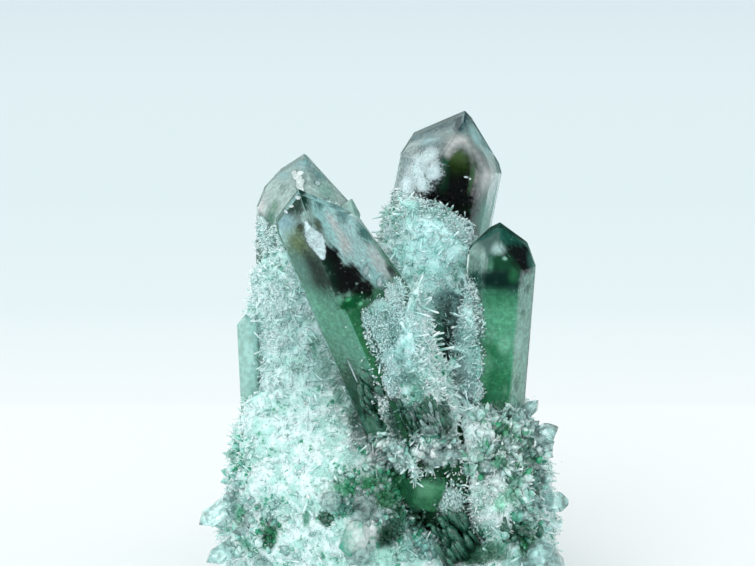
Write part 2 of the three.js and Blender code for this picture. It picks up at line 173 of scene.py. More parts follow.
class MaterialKit:
    """Adds nodes to a new material and joins them."""

    def __init__(self, name: str) -> None:
        """Starts a material.

        Args:
            name: The material's name.
        """
        self.material = bpy.data.materials.new(name)
        self.material.use_nodes = True
        self.tree = self.material.node_tree
        self.tree.nodes.clear()
        self.output = self.tree.nodes.new("ShaderNodeOutputMaterial")

    def add(self, kind: str, inputs: Inputs | None = None, **settings: object) -> bpy.types.Node:
        """Adds a node.

        Args:
            kind: The node's type.
            inputs: Values or outputs for its inputs.
            settings: The node's own settings.

        Returns:
            The new node.
        """
        node = self.tree.nodes.new(kind)
        for name, setting in settings.items():
            setattr(node, name, setting)
        for name, value in (inputs or {}).items():
            socket = node.inputs[name]
            if isinstance(value, bpy.types.NodeSocket):
                self.tree.links.new(value, socket)
            elif isinstance(value, tuple) and socket.type == "RGBA":
                socket.default_value = (*value, 1.0)
            else:
                socket.default_value = value
        return node

    def local(self, frame: Matrix) -> bpy.types.Node:
        """Gives coordinates in a crystal's own frame.

        Args:
            frame: The crystal's frame, in metres.

        Returns:
            A mapping node, whose vector is in metres along the crystal's own axes.
        """
        inverse = frame.inverted()
        place = self.add("ShaderNodeTexCoord").outputs["Object"]
        return self.add(
            "ShaderNodeMapping",
            {
                "Vector": place,
                "Location": tuple(inverse.translation),
                "Rotation": tuple(inverse.to_euler("XYZ")),
            },
        )

    def noise(self, vector: Socket, size: float, detail: float = 3.0, rough: float = 0.55) -> Socket:
        """Adds a cloudy pattern.

        Args:
            vector: Coordinates in metres.
            size: How large its patches are, in millimetres.
            detail: How many finer layers it has.
            rough: How strong the finer layers are.

        Returns:
            The pattern, about 0 to 1.
        """
        scale = 1.0 / (size * MM)
        node = self.add(
            "ShaderNodeTexNoise",
            {"Vector": vector, "Scale": scale, "Detail": detail, "Roughness": rough},
        )
        return node.outputs["Fac"]

    def ramp(self, share: Socket, stops: list[Stop]) -> Socket:
        """Adds a colour ramp.

        Args:
            share: Where on the ramp, from 0 to 1.
            stops: Its places and linear colours, in order.

        Returns:
            The colour.
        """
        node = self.add("ShaderNodeValToRGB", {"Fac": share})
        band = node.color_ramp
        while len(band.elements) < len(stops):
            band.elements.new(0.5)
        for element, (at, colour) in zip(band.elements, stops):
            element.position = at
            element.color = (*colour, 1.0)
        return node.outputs["Color"]

    def spread(self, value: Socket, low: float, high: float, to: tuple[float, float] = (0.0, 1.0)) -> Socket:
        """Maps a range to another, eased and held at its ends.

        Args:
            value: What is mapped.
            low: The value that gives the first end.
            high: The value that gives the second end.
            to: The two ends.

        Returns:
            The mapped value.
        """
        node = self.add(
            "ShaderNodeMapRange",
            {"Value": value, "From Min": low, "From Max": high, "To Min": to[0], "To Max": to[1]},
            interpolation_type="SMOOTHSTEP",
        )
        return node.outputs["Result"]

    def mix(self, share: Value, first: Value, second: Value, blend: str = "MIX") -> Socket:
        """Mixes two colours.

        Args:
            share: How much of the second there is.
            first: The first colour.
            second: The second colour.
            blend: How they are mixed.

        Returns:
            The mixed colour.
        """
        node = self.add("ShaderNodeMix", data_type="RGBA", blend_type=blend)
        for at, value in ((0, share), (6, first), (7, second)):
            if isinstance(value, bpy.types.NodeSocket):
                self.tree.links.new(value, node.inputs[at])
            elif isinstance(value, tuple):
                node.inputs[at].default_value = (*value, 1.0)
            else:
                node.inputs[at].default_value = value
        return node.outputs[2]

    def foot_shaded(self, colour: Value, deep: Triple, reach: float = 0.9) -> Socket:
        """Turns a bed's colour into a deeper one towards the crystals' feet: painted shade where they shade
        one another.
        """
        grown = self.add("ShaderNodeAttribute", attribute_name=GROWN).outputs["Fac"]
        return self.mix(self.spread(grown, 0.0, reach), deep, colour)

    def maths(self, operation: str, first: Value, second: Value = 0.0) -> Socket:
        """Adds a sum of two numbers and gives its result."""
        return self.add("ShaderNodeMath", {0: first, 1: second}, operation=operation).outputs[0]

    def shaded(self, colour: Value, shade: Socket) -> Socket:
        """Multiplies a colour by a shade from 0 up."""
        grey = self.add("ShaderNodeCombineColor", {0: shade, 1: shade, 2: shade}).outputs[0]
        return self.mix(1.0, colour, grey, "MULTIPLY")

    def clouded(
        self, colour: Value, place: Socket, rough: Socket, clouds: list[Cloud]
    ) -> tuple[Value, list[Socket]]:
        """Lays soft patches over a colour, one on the other.

        Args:
            colour: The colour under them.
            place: Coordinates in metres.
            rough: The pattern that breaks up their rims.
            clouds: The patches.

        Returns:
            The colour, and how much of each patch there is.
        """
        shares = []
        for cloud in clouds:
            centre = tuple(part * MM for part in cloud.centre)
            size = tuple(part * MM for part in cloud.size)
            off = self.add("ShaderNodeVectorMath", {0: place, 1: centre}, operation="SUBTRACT").outputs[0]
            scaled = self.add("ShaderNodeVectorMath", {0: off, 1: size}, operation="DIVIDE").outputs[0]
            away = self.add("ShaderNodeVectorMath", {0: scaled}, operation="LENGTH").outputs["Value"]
            terms = {0: rough, 1: cloud.ragged * 4, 2: -cloud.ragged * 2}
            rim = self.add("ShaderNodeMath", terms, operation="MULTIPLY_ADD").outputs[0]
            edge = self.maths("ADD", away, rim)
            shares.append(self.spread(edge, 1.0 - cloud.soft, 1.0 + cloud.soft, (cloud.cover, 0.0)))
            colour = self.mix(shares[-1], colour, cloud.colour)
        return colour, shares

    def most(self, shares: list[Socket], least: float = 0.0) -> Value:
        """Gives the largest of some shares, or the least allowed."""
        largest: Value = least
        for share in shares:
            largest = self.maths("MAXIMUM", largest, share)
        return largest

    def bump(self, height: Socket, depth: float) -> Socket:
        """Bends the normal by a relief whose depth is in millimetres."""
        return self.add("ShaderNodeBump", {"Height": height, "Distance": depth * MM}).outputs["Normal"]

    def finish(self, inputs: Inputs, volume: bpy.types.Node | None = None) -> bpy.types.Material:
        """Closes the material with a Principled shader.

        Args:
            inputs: Values or outputs for the shader.
            volume: A node for the inside, where it has one.

        Returns:
            The material.
        """
        shader = self.add("ShaderNodeBsdfPrincipled", inputs)
        self.tree.links.new(shader.outputs["BSDF"], self.output.inputs["Surface"])
        if volume:
            self.tree.links.new(volume.outputs["Volume"], self.output.inputs["Volume"])
        return self.material


@dataclass(frozen=True)
class ClearQuartz:
    """Clear crystal, tinted by its depth, with faint growth lines across its faces and patches of frost, some
    of them painted glints and highlights.
    """

    name: str
    density: float
    tint: Triple = (0.30, 0.74, 0.64)
    lines: float = 0.012
    grains: float = 0.12
    frost: Triple = (0.36, 0.45, 0.46)
    sheen: Triple = (0.12, 0.15, 0.15)
    roughness: tuple[float, float] = (0.03, 0.6)
    patches: list[Cloud] = field(default_factory=list)

    def material(self, frame: Matrix) -> bpy.types.Material:
        """Makes the material for a crystal with the given frame in metres."""
        kit = MaterialKit(self.name)
        place = kit.local(frame).outputs["Vector"]
        squeezed = kit.add("ShaderNodeMapping", {"Vector": place, "Scale": (0.25, 0.25, 2.2)})
        lines = kit.noise(squeezed.outputs["Vector"], 1.6, 2.0)
        grains = kit.noise(place, 0.5, 3.0, 0.65)
        rims = kit.mix(0.5, grains, kit.noise(place, 2.2, 3.0))
        colour, shares = kit.clouded(self.frost, place, rims, self.patches)
        # Where the patches lie: frost and coats, and painted glints and highlights.
        frost_and_glints = kit.most(shares)
        mottled = kit.shaded(colour, kit.spread(rims, 0.36, 0.64, (0.62, 1.25)))
        relief = kit.maths("MULTIPLY", grains, kit.maths("MULTIPLY", frost_and_glints, self.grains))
        height = kit.maths("ADD", kit.maths("MULTIPLY", lines, self.lines), relief)
        volume = kit.add("ShaderNodeVolumeAbsorption", {"Color": self.tint, "Density": self.density})
        return kit.finish(
            {
                "Base Color": kit.mix(kit.spread(frost_and_glints, 0.0, 0.1), (1.0, 1.0, 1.0), mottled),
                "Roughness": kit.spread(frost_and_glints, 0.0, 1.0, self.roughness),
                "IOR": QUARTZ_IOR,
                "Transmission Weight": kit.spread(frost_and_glints, 0.0, 1.0, (1.0, 0.0)),
                "Specular Tint": self.sheen,
                "Normal": kit.bump(height, 1.0),
            },
            volume,
        )


@dataclass(frozen=True)
class Inside:
    """What a point holds just under its faces: green along its axis, pale veils, clouds, and white dots that
    are partly painted glints.

    front and side give the colours along the axis, on the side that turn and edge choose and on the others.
    cover is how much it hides, wave how far its colours run up and down, and veils how strong the veils are.
    """

    name: str
    length: float
    front: list[Stop]
    side: list[Stop]
    turn: float = 0.0
    edge: tuple[float, float] = (-0.5, 0.5)
    clouds: list[Cloud] = field(default_factory=list)
    cover: float = 1.0
    streak: float = 4.0
    wave: float = 2.5
    veils: float = 0.3
    veil: Triple = (0.62, 0.8, 0.78)
    speck_and_glint: Triple = (0.8, 0.93, 0.93)

    def material(self, frame: Matrix) -> bpy.types.Material:
        """Makes the material for a point with the given frame in metres."""
        kit = MaterialKit(self.name)
        place = kit.local(frame).outputs["Vector"]
        fine = kit.noise(place, 0.9, 4.0, 0.7)
        long = kit.add("ShaderNodeMapping", {"Vector": place, "Scale": (1.0, 1.0, 0.35)}).outputs["Vector"]
        broad = kit.noise(long, self.streak, 5.0, 0.62)
        axes = kit.add("ShaderNodeSeparateXYZ", {0: place})
        terms = {0: broad, 1: 2 * self.wave * MM, 2: -self.wave * MM}
        waved = kit.add("ShaderNodeMath", terms, operation="MULTIPLY_ADD").outputs[0]
        height = kit.maths("ADD", axes.outputs["Z"], waved)
        share = kit.maths("DIVIDE", height, self.length * MM)
        angle = math.radians(self.turn)
        turned = kit.add("ShaderNodeVectorRotate", {0: place, "Angle": angle}, rotation_type="Z_AXIS")
        across = kit.add("ShaderNodeSeparateXYZ", {0: turned.outputs[0]}).outputs["X"]
        mask = kit.spread(across, self.edge[0] * MM, self.edge[1] * MM)
        colour = kit.mix(mask, kit.ramp(share, self.side), kit.ramp(share, self.front))
        veiled = kit.spread(kit.noise(long, 5.0, 6.0, 0.7), 0.52, 0.68, (0.0, self.veils))
        colour = kit.mix(veiled, colour, self.veil)
        colour, shares = kit.clouded(colour, place, kit.mix(0.4, fine, broad), self.clouds)
        cover = kit.most(shares, self.cover) if self.cover < 1 else self.cover
        flecks = kit.spread(fine, 0.35, 0.72, (0.72, 1.2))
        # White dots from fine noise: specks, partly painted glints
        specks_and_glints = kit.spread(kit.noise(place, 0.45, 2.0, 0.5), 0.69, 0.75, (0.0, 0.45))
        colour = kit.mix(specks_and_glints, kit.shaded(colour, flecks), self.speck_and_glint)
        return kit.finish({"Base Color": colour, "Roughness": 0.6, "Specular IOR Level": 0.0, "Alpha": cover})


@dataclass(frozen=True)
class Druse:
    """A crust of fine crystals: white and teal in small patches, with green pits, and clouds of its own
    colour, of painted shade and of painted light.

    deep is the colour of the crystals' feet, painted shade where they shade one another, glow how much light
    spreads inside them, and pits the height of the pattern above which the crust is green.
    """

    name: str
    white: Triple = (0.85, 0.955, 0.965)
    teal: Triple = (0.52, 0.77, 0.735)
    green: Triple = (0.12, 0.4, 0.29)
    shade: tuple[float, float] = (0.9, 1.12)
    roughness: float = 0.3
    glow: float = 0.5
    milky: float = 0.0
    seams_and_painted_shade: list[Cloud] = field(default_factory=list)
    deep: Triple | None = None
    pits: float = 0.59
    sheen: Triple = (0.45, 0.72, 0.68)

    def material(self) -> bpy.types.Material:
        """Makes the material."""
        kit = MaterialKit(self.name)
        place = kit.add("ShaderNodeTexCoord").outputs["Object"]
        broad = kit.noise(place, 8.0, 3.0)
        drift = kit.spread(broad, 0.35, 0.65, (-0.06, 0.06))
        patches = kit.maths("ADD", kit.noise(place, 2.4, 4.0, 0.6), drift)
        body = kit.mix(kit.spread(patches, 0.4, 0.6), self.white, self.teal)
        drift = kit.spread(broad, 0.3, 0.7, (-0.05, 0.05))
        pits = kit.maths("ADD", kit.noise(place, 1.7, 3.0, 0.6), drift)
        body = kit.mix(kit.spread(pits, self.pits, self.pits + 0.09), body, self.green)
        if self.deep:
            body = kit.foot_shaded(body, self.deep)
        grains = kit.noise(place, 0.5, 3.0, 0.65)
        body, _ = kit.clouded(body, place, kit.mix(0.5, grains, pits), self.seams_and_painted_shade)
        shade = kit.spread(grains, 0.32, 0.68, self.shade)
        return kit.finish(
            {
                "Base Color": kit.shaded(body, shade),
                "Roughness": self.roughness,
                "IOR": QUARTZ_IOR,
                "Specular Tint": self.sheen,
                "Transmission Weight": self.milky,
                "Subsurface Weight": self.glow,
                "Subsurface Radius": (1.0, 1.0, 1.0),
                "Subsurface Scale": 1.2 * MM,
                "Normal": kit.bump(grains, 0.25),
            }
        )


@dataclass(frozen=True)
class TintedCrystal:
    """Small crystals, partly clear and partly cloudy, whose colour varies a little from one to the next."""

    name: str
    colour: Triple
    clear: float
    # deep, where given, is a deeper colour towards the crystals' feet: painted shade where they shade one
    # another.
    deep: Triple | None = None
    varied: tuple[float, float] = (0.55, 1.35)
    roughness: float = 0.08

    def material(self) -> bpy.types.Material:
        """Makes the material."""
        kit = MaterialKit(self.name)
        place = kit.add("ShaderNodeTexCoord").outputs["Object"]
        colour = kit.shaded(self.colour, kit.spread(kit.noise(place, 1.2, 2.0), 0.35, 0.65, self.varied))
        if self.deep:
            colour = kit.foot_shaded(colour, self.deep)
        lines = kit.noise(place, 0.5, 2.0)
        return kit.finish(
            {
                "Base Color": colour,
                "Roughness": self.roughness,
                "IOR": QUARTZ_IOR,
                "Transmission Weight": self.clear,
                "Normal": kit.bump(lines, 0.05),
            }
        )


# Modelling


def deselect() -> None:
    """Leaves edit mode and deselects every object."""
    if bpy.context.object and bpy.context.object.mode != "OBJECT":
        bpy.ops.object.mode_set(mode="OBJECT")
    bpy.ops.object.select_all(action="DESELECT")


def choose(*objects: bpy.types.Object) -> None:
    """Selects only these objects and makes the first one active."""
    deselect()
    for each in objects:
        each.select_set(True)
    bpy.context.view_layer.objects.active = objects[0]


def edit(piece: bpy.types.Object) -> None:
    """Opens a piece in edit mode with all of it selected."""
    choose(piece)
    bpy.ops.object.mode_set(mode="EDIT")
    bpy.ops.mesh.select_all(action="SELECT")


def apply_all(piece: bpy.types.Object) -> None:
    """Applies a piece's modifiers in order."""
    choose(piece)
    for modifier in list(piece.modifiers):
        bpy.ops.object.modifier_apply(modifier=modifier.name)


def join(pieces: list[bpy.types.Object], name: str) -> bpy.types.Object:
    """Joins pieces into the first one and names it."""
    choose(*pieces)
    if len(pieces) > 1:
        bpy.ops.object.join()
    made = bpy.context.object
    made.name = made.data.name = name
    return made


def from_arrays(name: str, points: np.ndarray, faces: list[tuple[int, ...]]) -> bpy.types.Object:
    """Makes an object from its points and faces.

    Args:
        name: The object's name.
        points: Its points, one row each.
        faces: The indices of each face's points.

    Returns:
        The object, linked to the scene.
    """
    mesh = bpy.data.meshes.new(name)
    mesh.from_pydata(points.tolist(), [], faces)
    made = bpy.data.objects.new(name, mesh)
    bpy.context.scene.collection.objects.link(made)
    return made


def settle(piece: bpy.types.Object, material: bpy.types.Material, slot: Slot, *nodes: str) -> None:
    """Dresses a finished piece and ties it to the frame.

    Args:
        piece: The piece, in metres and in place.
        material: Its finish.
        slot: The record's slot that the finish belongs to; it is not used.
        nodes: The solids that it stands for.
    """
    piece.data.materials.clear()
    piece.data.materials.append(material)
    if nodes:
        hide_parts(*nodes)
    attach(piece, BODY)
    LOG.info("%s: %d faces", piece.name, len(piece.data.polygons))


@dataclass
class Crystal:
    """A six-sided crystal, given by its foot, the way it points and how its faces lie.

    side is the width of its faces and turn its turn about its axis. drop gives how far each face of the tip
    is lowered, spread how far each face of the prism is moved out, and slopes the faces of another slope.
    """

    foot: Triple
    towards: Triple
    length: float
    side: float
    turn: float = SIDE_TURN
    drop: Six = SIDE_DROP
    spread: Six = EVEN
    slopes: dict[int, float] = field(default_factory=dict)

    def frame(self) -> Matrix:
        """Gives the crystal's frame: its foot is the origin and its axis is Z."""
        along = Vector(self.towards).normalized()
        hint = Vector((0, 1, 0)) if abs(along.x) > 0.9 else Vector((1, 0, 0))
        back = along.cross(hint).normalized()
        right = back.cross(along)
        axes = Matrix((right, back, along)).transposed().to_4x4()
        turned = Matrix.Rotation(math.radians(self.turn), 4, "Z")
        return Matrix.Translation(Vector(self.foot) + SHIFT) @ axes @ turned

    def metre_frame(self) -> Matrix:
        """Gives the frame with its origin in metres."""
        frame = self.frame()
        frame.translation *= MM
        return frame

    def planes(self, inset: float = 0.0, lowered: float = 0.0) -> list[tuple[Vector, float]]:
        """Gives the planes of the faces in the crystal's frame.

        Args:
            inset: How far they are moved in.
            lowered: How much further the tip's faces are moved down the axis.

        Returns:
            An outward direction and a distance for each, six of the prism and six of the tip in turn.
        """
        found = []
        for i in range(SIDES):
            angle = math.radians(FACE_STEP / 2 + i * FACE_STEP)
            around = (math.cos(angle), math.sin(angle))
            wall = Vector((*around, self.side * TAPER / self.length))
            reach = self.side * (math.cos(math.radians(FACE_STEP / 2)) + TAPER) + self.spread[i]
            tip = Vector((*around, math.tan(math.radians(self.slopes.get(i, TIP_SLOPE)))))
            top = tip.z * (self.length - self.drop[i] - lowered)
            for outwards, distance in ((wall, reach), (tip, top)):
                found.append((outwards.normalized(), distance / outwards.length - inset))
        return found

    def build(
        self, name: str, inset: float = 0.0, lowered: float = 0.0, bevel: float = 0.08, start: float = 0.0
    ) -> bpy.types.Object:
        """Models the crystal: a six-sided blank that is cut by each plane and has its edges softened.

        Args:
            name: The object's name.
            inset: How far the faces are moved in.
            lowered: How much further the tip is moved down.
            bevel: The width of its softened edges.
            start: Where on the axis it starts.

        Returns:
            The crystal, in place and in metres.
        """
        deselect()
        tall = self.length - start
        bpy.ops.mesh.primitive_cylinder_add(
            vertices=SIDES, radius=self.side * 3, depth=tall, location=(0, 0, start + tall / 2)
        )
        made = bpy.context.object
        bpy.ops.object.transform_apply(location=True, rotation=True, scale=True)
        bpy.ops.object.mode_set(mode="EDIT")
        for outwards, distance in self.planes(inset, lowered):
            bpy.ops.mesh.select_all(action="SELECT")
            bpy.ops.mesh.bisect(
                plane_co=outwards * distance,
                plane_no=outwards,
                use_fill=True,
                clear_outer=True,
                threshold=1e-5,
            )
        bpy.ops.mesh.select_all(action="SELECT")
        bpy.ops.mesh.remove_doubles(threshold=0.002)
        bpy.ops.mesh.dissolve_limited(angle_limit=math.radians(0.5))
        if bevel:
            bpy.ops.mesh.select_all(action="SELECT")
            bpy.ops.mesh.bevel(offset=bevel, segments=1, affect="EDGES", clamp_overlap=True)
        bpy.ops.mesh.select_all(action="SELECT")
        bpy.ops.mesh.normals_make_consistent(inside=False)
        bpy.ops.object.mode_set(mode="OBJECT")
        made.data.transform(self.frame())
        made.data.transform(Matrix.Scale(MM, 4))
        made.name = made.data.name = name
        return made

    def on_face(self, angle: float, height: float) -> tuple[Vector, Vector]:
        """Finds the surface seen from a place on the axis.

        Args:
            angle: Which way, round the axis, with the turn counted in.
            height: How high on the axis.

        Returns:
            The place and the outward direction there, in the cluster's frame.
        """
        turned = math.radians(angle - self.turn)
        ray = Vector((math.cos(turned), math.sin(turned), 0.0))
        best, normal = self.side * 3, Vector((0, 0, 1))
        for outwards, distance in self.planes():
            if outwards.dot(ray) > 0.05:
                reach = (distance - outwards.z * height) / outwards.dot(ray)
                if reach < best:
                    best, normal = reach, outwards
        frame = self.frame()
        place = ray * max(best, 0.0) + Vector((0, 0, height))
        return frame @ place, frame.to_3x3() @ normal

    def covers(self, triangles: np.ndarray, slack: float = 0.03) -> np.ndarray:
        """Finds the triangles that lie on the crystal's faces.

        Args:
            triangles: Triangles in the cluster's frame, in millimetres.
            slack: How far off a face they may be.

        Returns:
            True for each that does.
        """
        inverse = np.array(self.frame().inverted())
        local = triangles @ inverse[:3, :3].T + inverse[:3, 3]
        middle = local.mean(axis=1)
        near = (middle[:, 2] < self.length + 1) & (middle[:, 2] > -1)
        near &= np.hypot(middle[:, 0], middle[:, 1]) < self.side * 1.7 + 2
        on_face = np.zeros(len(triangles), bool)
        for outwards, distance in self.planes():
            off = np.abs(local @ np.array(outwards) - distance).max(axis=1)
            on_face |= off < slack
        return on_face & near


@dataclass
class Patch:
    """Triangles of a solid's skin, on which a crust grows."""

    triangles: np.ndarray

    @classmethod
    def of(cls, node: bpy.types.Object) -> "Patch":
        """Reads a solid's triangles, in millimetres."""
        mesh = node.data
        points = np.zeros(len(mesh.vertices) * 3)
        mesh.vertices.foreach_get("co", points)
        mesh.calc_loop_triangles()
        corners = np.zeros(len(mesh.loop_triangles) * 3, int)
        mesh.loop_triangles.foreach_get("vertices", corners)
        return cls(points.reshape(-1, 3)[corners].reshape(-1, 3, 3) / MM)

    def without(self, crystals: list[Crystal]) -> "Patch":
        """Leaves out the clean faces of crystals."""
        kept = np.ones(len(self.triangles), bool)
        for crystal in crystals:
            kept &= ~crystal.covers(self.triangles)
        return Patch(self.triangles[kept])

    def crosses(self) -> np.ndarray:
        """Gives the cross product of each triangle's sides."""
        first, second, third = self.triangles.transpose(1, 0, 2)
        return np.cross(second - first, third - first)

    def shell(self, name: str) -> bpy.types.Object:
        """Makes the patch one merged sheet, in millimetres."""
        count = len(self.triangles)
        faces = np.arange(count * 3).reshape(-1, 3).tolist()
        made = from_arrays(name, self.triangles.reshape(-1, 3), faces)
        edit(made)
        bpy.ops.mesh.remove_doubles(threshold=0.002)
        bpy.ops.object.mode_set(mode="OBJECT")
        return made

    def scatter(self, count: int, random: np.random.Generator) -> Places:
        """Picks places evenly over the patch.

        Args:
            count: How many.
            random: The source of numbers.

        Returns:
            The places and the outward directions there.
        """
        crosses = self.crosses()
        areas = np.linalg.norm(crosses, axis=1)
        chosen = random.choice(len(areas), count, p=areas / areas.sum())
        one, two = random.random((2, count, 1))
        over = one + two > 1
        one, two = np.where(over, 1 - one, one), np.where(over, 1 - two, two)
        corner, second, third = self.triangles[chosen].transpose(1, 0, 2)
        places = corner + (second - corner) * one + (third - corner) * two
        return places, crosses[chosen] / areas[chosen, None]


def solid_tree(patch: Patch) -> BVHTree:
    """Makes a search tree of a patch, in millimetres."""
    triangles = patch.triangles
    faces = np.arange(len(triangles) * 3).reshape(-1, 3).tolist()
    return BVHTree.FromPolygons(triangles.reshape(-1, 3).tolist(), faces)


def inside(tree: BVHTree, place: np.ndarray) -> bool:
    """Tells whether a place on one solid's crust is inside a neighbouring solid."""
    nearest, normal, _, distance = tree.find_nearest(Vector(place))
    return distance < DEEPEST and (Vector(place) - nearest).dot(normal) < 0


def needle_shape(sides: int) -> tuple[np.ndarray, list[tuple[int, ...]]]:
    """Gives the ring that a needle is made of and its faces: the sides, the tip and the foot."""
    turns = np.arange(sides) * 2 * math.pi / sides
    ring = np.stack([np.cos(turns), np.sin(turns)], axis=1)
    after = [(i, (i + 1) % sides) for i in range(sides)]
    faces = [(i, j, sides + j, sides + i) for i, j in after]
    faces += [(sides + i, sides + j, 2 * sides) for i, j in after]
    return ring, [*faces, tuple(reversed(range(sides)))]


@dataclass
class Needles:
    """A bed of crystals, each closed and with a pointed end.

    lean is how far they lean away from the crust's outward direction, or from towards where it is given, and
    sunk how deep their feet stand.
    """

    count: int
    length: tuple[float, float] = (0.5, 2.1)
    radius: tuple[float, float] = (0.1, 0.3)
    lean: float = 2.6
    sunk: float = 0.2
    seed: int = 1
    sides: int = 3
    towards: Triple | None = None

    def of(self, count: int, seed: int) -> "Needles":
        """Gives a bed of the same kind with a number and a seed of its own."""
        return replace(self, count=count, seed=seed)

    def grow(self, name: str, places: np.ndarray, outwards: np.ndarray) -> bpy.types.Object:
        """Builds the bed.

        Args:
            name: The object's name.
            places: Where the needles stand, in millimetres.
            outwards: The direction out of the crust at each.

        Returns:
            The bed, in metres.
        """
        random = np.random.default_rng(self.seed)
        count = len(places)
        swing = random.normal(size=(count, 3))
        swing *= (self.lean * random.random((count, 1)) ** 0.5) / np.linalg.norm(swing, axis=1, keepdims=True)
        along = (outwards if self.towards is None else np.array(self.towards)) + swing
        along /= np.linalg.norm(along, axis=1, keepdims=True)
        hint = np.where(np.abs(along[:, :1]) > 0.8, [[0.0, 1.0, 0.0]], [[1.0, 0.0, 0.0]])
        across = np.cross(along, hint)
        across /= np.linalg.norm(across, axis=1, keepdims=True)
        third = np.cross(along, across)
        low, high = self.length
        length = low + (high - low) * random.random(count) ** SHORTNESS
        low, high = self.radius
        radius = low + (high - low) * random.random(count) ** THINNESS
        ring, faces = needle_shape(self.sides)
        turn = random.random(count) * math.pi / 3
        tip = np.minimum(radius * (1.0 + 1.6 * random.random(count)), length * 0.45)
        flat = 0.7 + 0.3 * random.random(count)
        lower, upper, top = slice(0, self.sides), slice(self.sides, 2 * self.sides), 2 * self.sides
        shape = np.zeros((count, top + 1, 3))
        cos, sin = np.cos(turn)[:, None], np.sin(turn)[:, None]
        ring_x = (ring[None, :, 0] * cos - ring[None, :, 1] * sin) * radius[:, None]
        ring_y = (ring[None, :, 0] * sin + ring[None, :, 1] * cos) * (radius * flat)[:, None]
        shape[:, lower, 0] = shape[:, upper, 0] = ring_x
        shape[:, lower, 1] = shape[:, upper, 1] = ring_y
        skew = (random.random((count, 1)) - 0.5) * 0.8
        shape[:, upper, 2] = (length - tip)[:, None] + skew * ring_x
        shape[:, top, 2] = length
        shape[:, top, :2] = (random.random((count, 2)) - 0.5) * radius[:, None] * 0.7
        axes = np.stack([across, third, along], axis=1)
        start = places - outwards * self.sunk
        points = shape @ axes + start[:, None, :]
        points = points[points[:, :, 2].min(axis=1) > LOWEST]
        corners = np.concatenate([np.array(face) for face in faces])
        sizes = np.array([len(face) for face in faces])
        loops = (corners[None, :] + np.arange(len(points))[:, None] * (top + 1)).ravel()
        totals = np.tile(sizes, len(points))
        heights = np.tile(np.repeat([0.0, 1.0], [self.sides, self.sides + 1]), len(points))
        bed = mesh_of_loops(name, points.reshape(-1, 3) * MM, loops, totals)
        bed.data.attributes.new(GROWN, "FLOAT", "POINT").data.foreach_set("value", heights)
        return bed


def mesh_of_loops(name: str, points: np.ndarray, loops: np.ndarray, totals: np.ndarray) -> bpy.types.Object:
    """Makes an object from points and the corners of its faces.

    Args:
        name: The object's name.
        points: Its points, in metres.
        loops: The point at each corner, face after face.
        totals: How many corners each face has.

    Returns:
        The object, linked to the scene.
    """
    mesh = bpy.data.meshes.new(name)
    mesh.vertices.add(len(points))
    mesh.vertices.foreach_set("co", points.astype(np.float32).ravel())
    mesh.loops.add(len(loops))
    mesh.loops.foreach_set("vertex_index", loops.astype(np.int32))
    mesh.polygons.add(len(totals))
    starts = np.concatenate([[0], np.cumsum(totals)[:-1]])
    mesh.polygons.foreach_set("loop_start", starts.astype(np.int32))
    mesh.update(calc_edges=True)
    mesh.validate()
    made = bpy.data.objects.new(name, mesh)
    bpy.context.scene.collection.objects.link(made)
    return made


@dataclass
class Crust:
    """The crust on one solid: a lumpy skin below the solid's surface, and the needles that reach it.

    bare lists the crystals that it leaves clean. closed is for a crust all round, which is one filled body,
    tries the places looked at for each needle, and probe how far out a place has to be free.
    """

    node: str
    bare: list[Crystal]
    needles: Needles
    long: Needles
    sink: float = 0.35
    thick: float = 1.1
    voxel: float = 0.5
    closed: bool = False
    tries: int = 4
    probe: float = 0.7

    def skin(self, patch: Patch, name: str) -> bpy.types.Object:
        """Models the skin under the needles.

        Args:
            patch: The solid's surface where the crust grows.
            name: The object's name.

        Returns:
            The skin, in metres.
        """
        made = patch.shell(name)
        sunk = made.modifiers.new("sunk", "DISPLACE")
        sunk.mid_level = 0.0
        sunk.strength = -self.sink
        if self.closed:
            edit(made)
            bpy.ops.mesh.fill_holes(sides=0)
            bpy.ops.object.mode_set(mode="OBJECT")
        else:
            wall = made.modifiers.new("wall", "SOLIDIFY")
            wall.thickness = self.thick
            wall.offset = -1.0
        fused = made.modifiers.new("fused", "REMESH")
        fused.mode = "VOXEL"
        fused.voxel_size = self.voxel
        for label, size, strength in RELIEF:
            texture = bpy.data.textures.new(f"{name}_{label}", "CLOUDS")
            texture.noise_scale = size
            texture.noise_depth = 2
            rough = made.modifiers.new(label, "DISPLACE")
            rough.texture = texture
            rough.mid_level = 0.5
            rough.strength = strength
        apply_all(made)
        if self.closed:
            edit(made)
            bpy.ops.mesh.bisect(plane_co=(0, 0, 0.02), plane_no=(0, 0, -1), use_fill=True, clear_outer=True)
            bpy.ops.object.mode_set(mode="OBJECT")
        made.data.transform(Matrix.Scale(MM, 4))
        return made

    def places(self, skin: bpy.types.Object, patch: Patch, others: list[BVHTree]) -> Places:
        """Picks the places of the needles: on the outer side of the skin, outside the neighbouring solids.

        Args:
            skin: The finished skin.
            patch: The solid's surface where the crust grows.
            others: The neighbouring solids.

        Returns:
            The places and the outward directions.
        """
        random = np.random.default_rng(self.needles.seed + CRUST_DRAW)
        places, outwards = Patch.of(skin).scatter(self.needles.count * self.tries, random)
        surface = solid_tree(patch)
        free = np.zeros(len(places), bool)
        for i in np.flatnonzero((places[:, 2] > 0.8) & (outwards[:, 2] > -0.9)):
            _, normal, _, _ = surface.find_nearest(Vector(places[i]))
            probe = places[i] + outwards[i] * self.probe
            facing = normal.dot(Vector(outwards[i])) > -0.2
            free[i] = facing and not any(inside(tree, probe) for tree in others)
        LOG.info("%s: %d of %d places are free", self.node, free.sum(), len(free))
        return places[free], outwards[free]


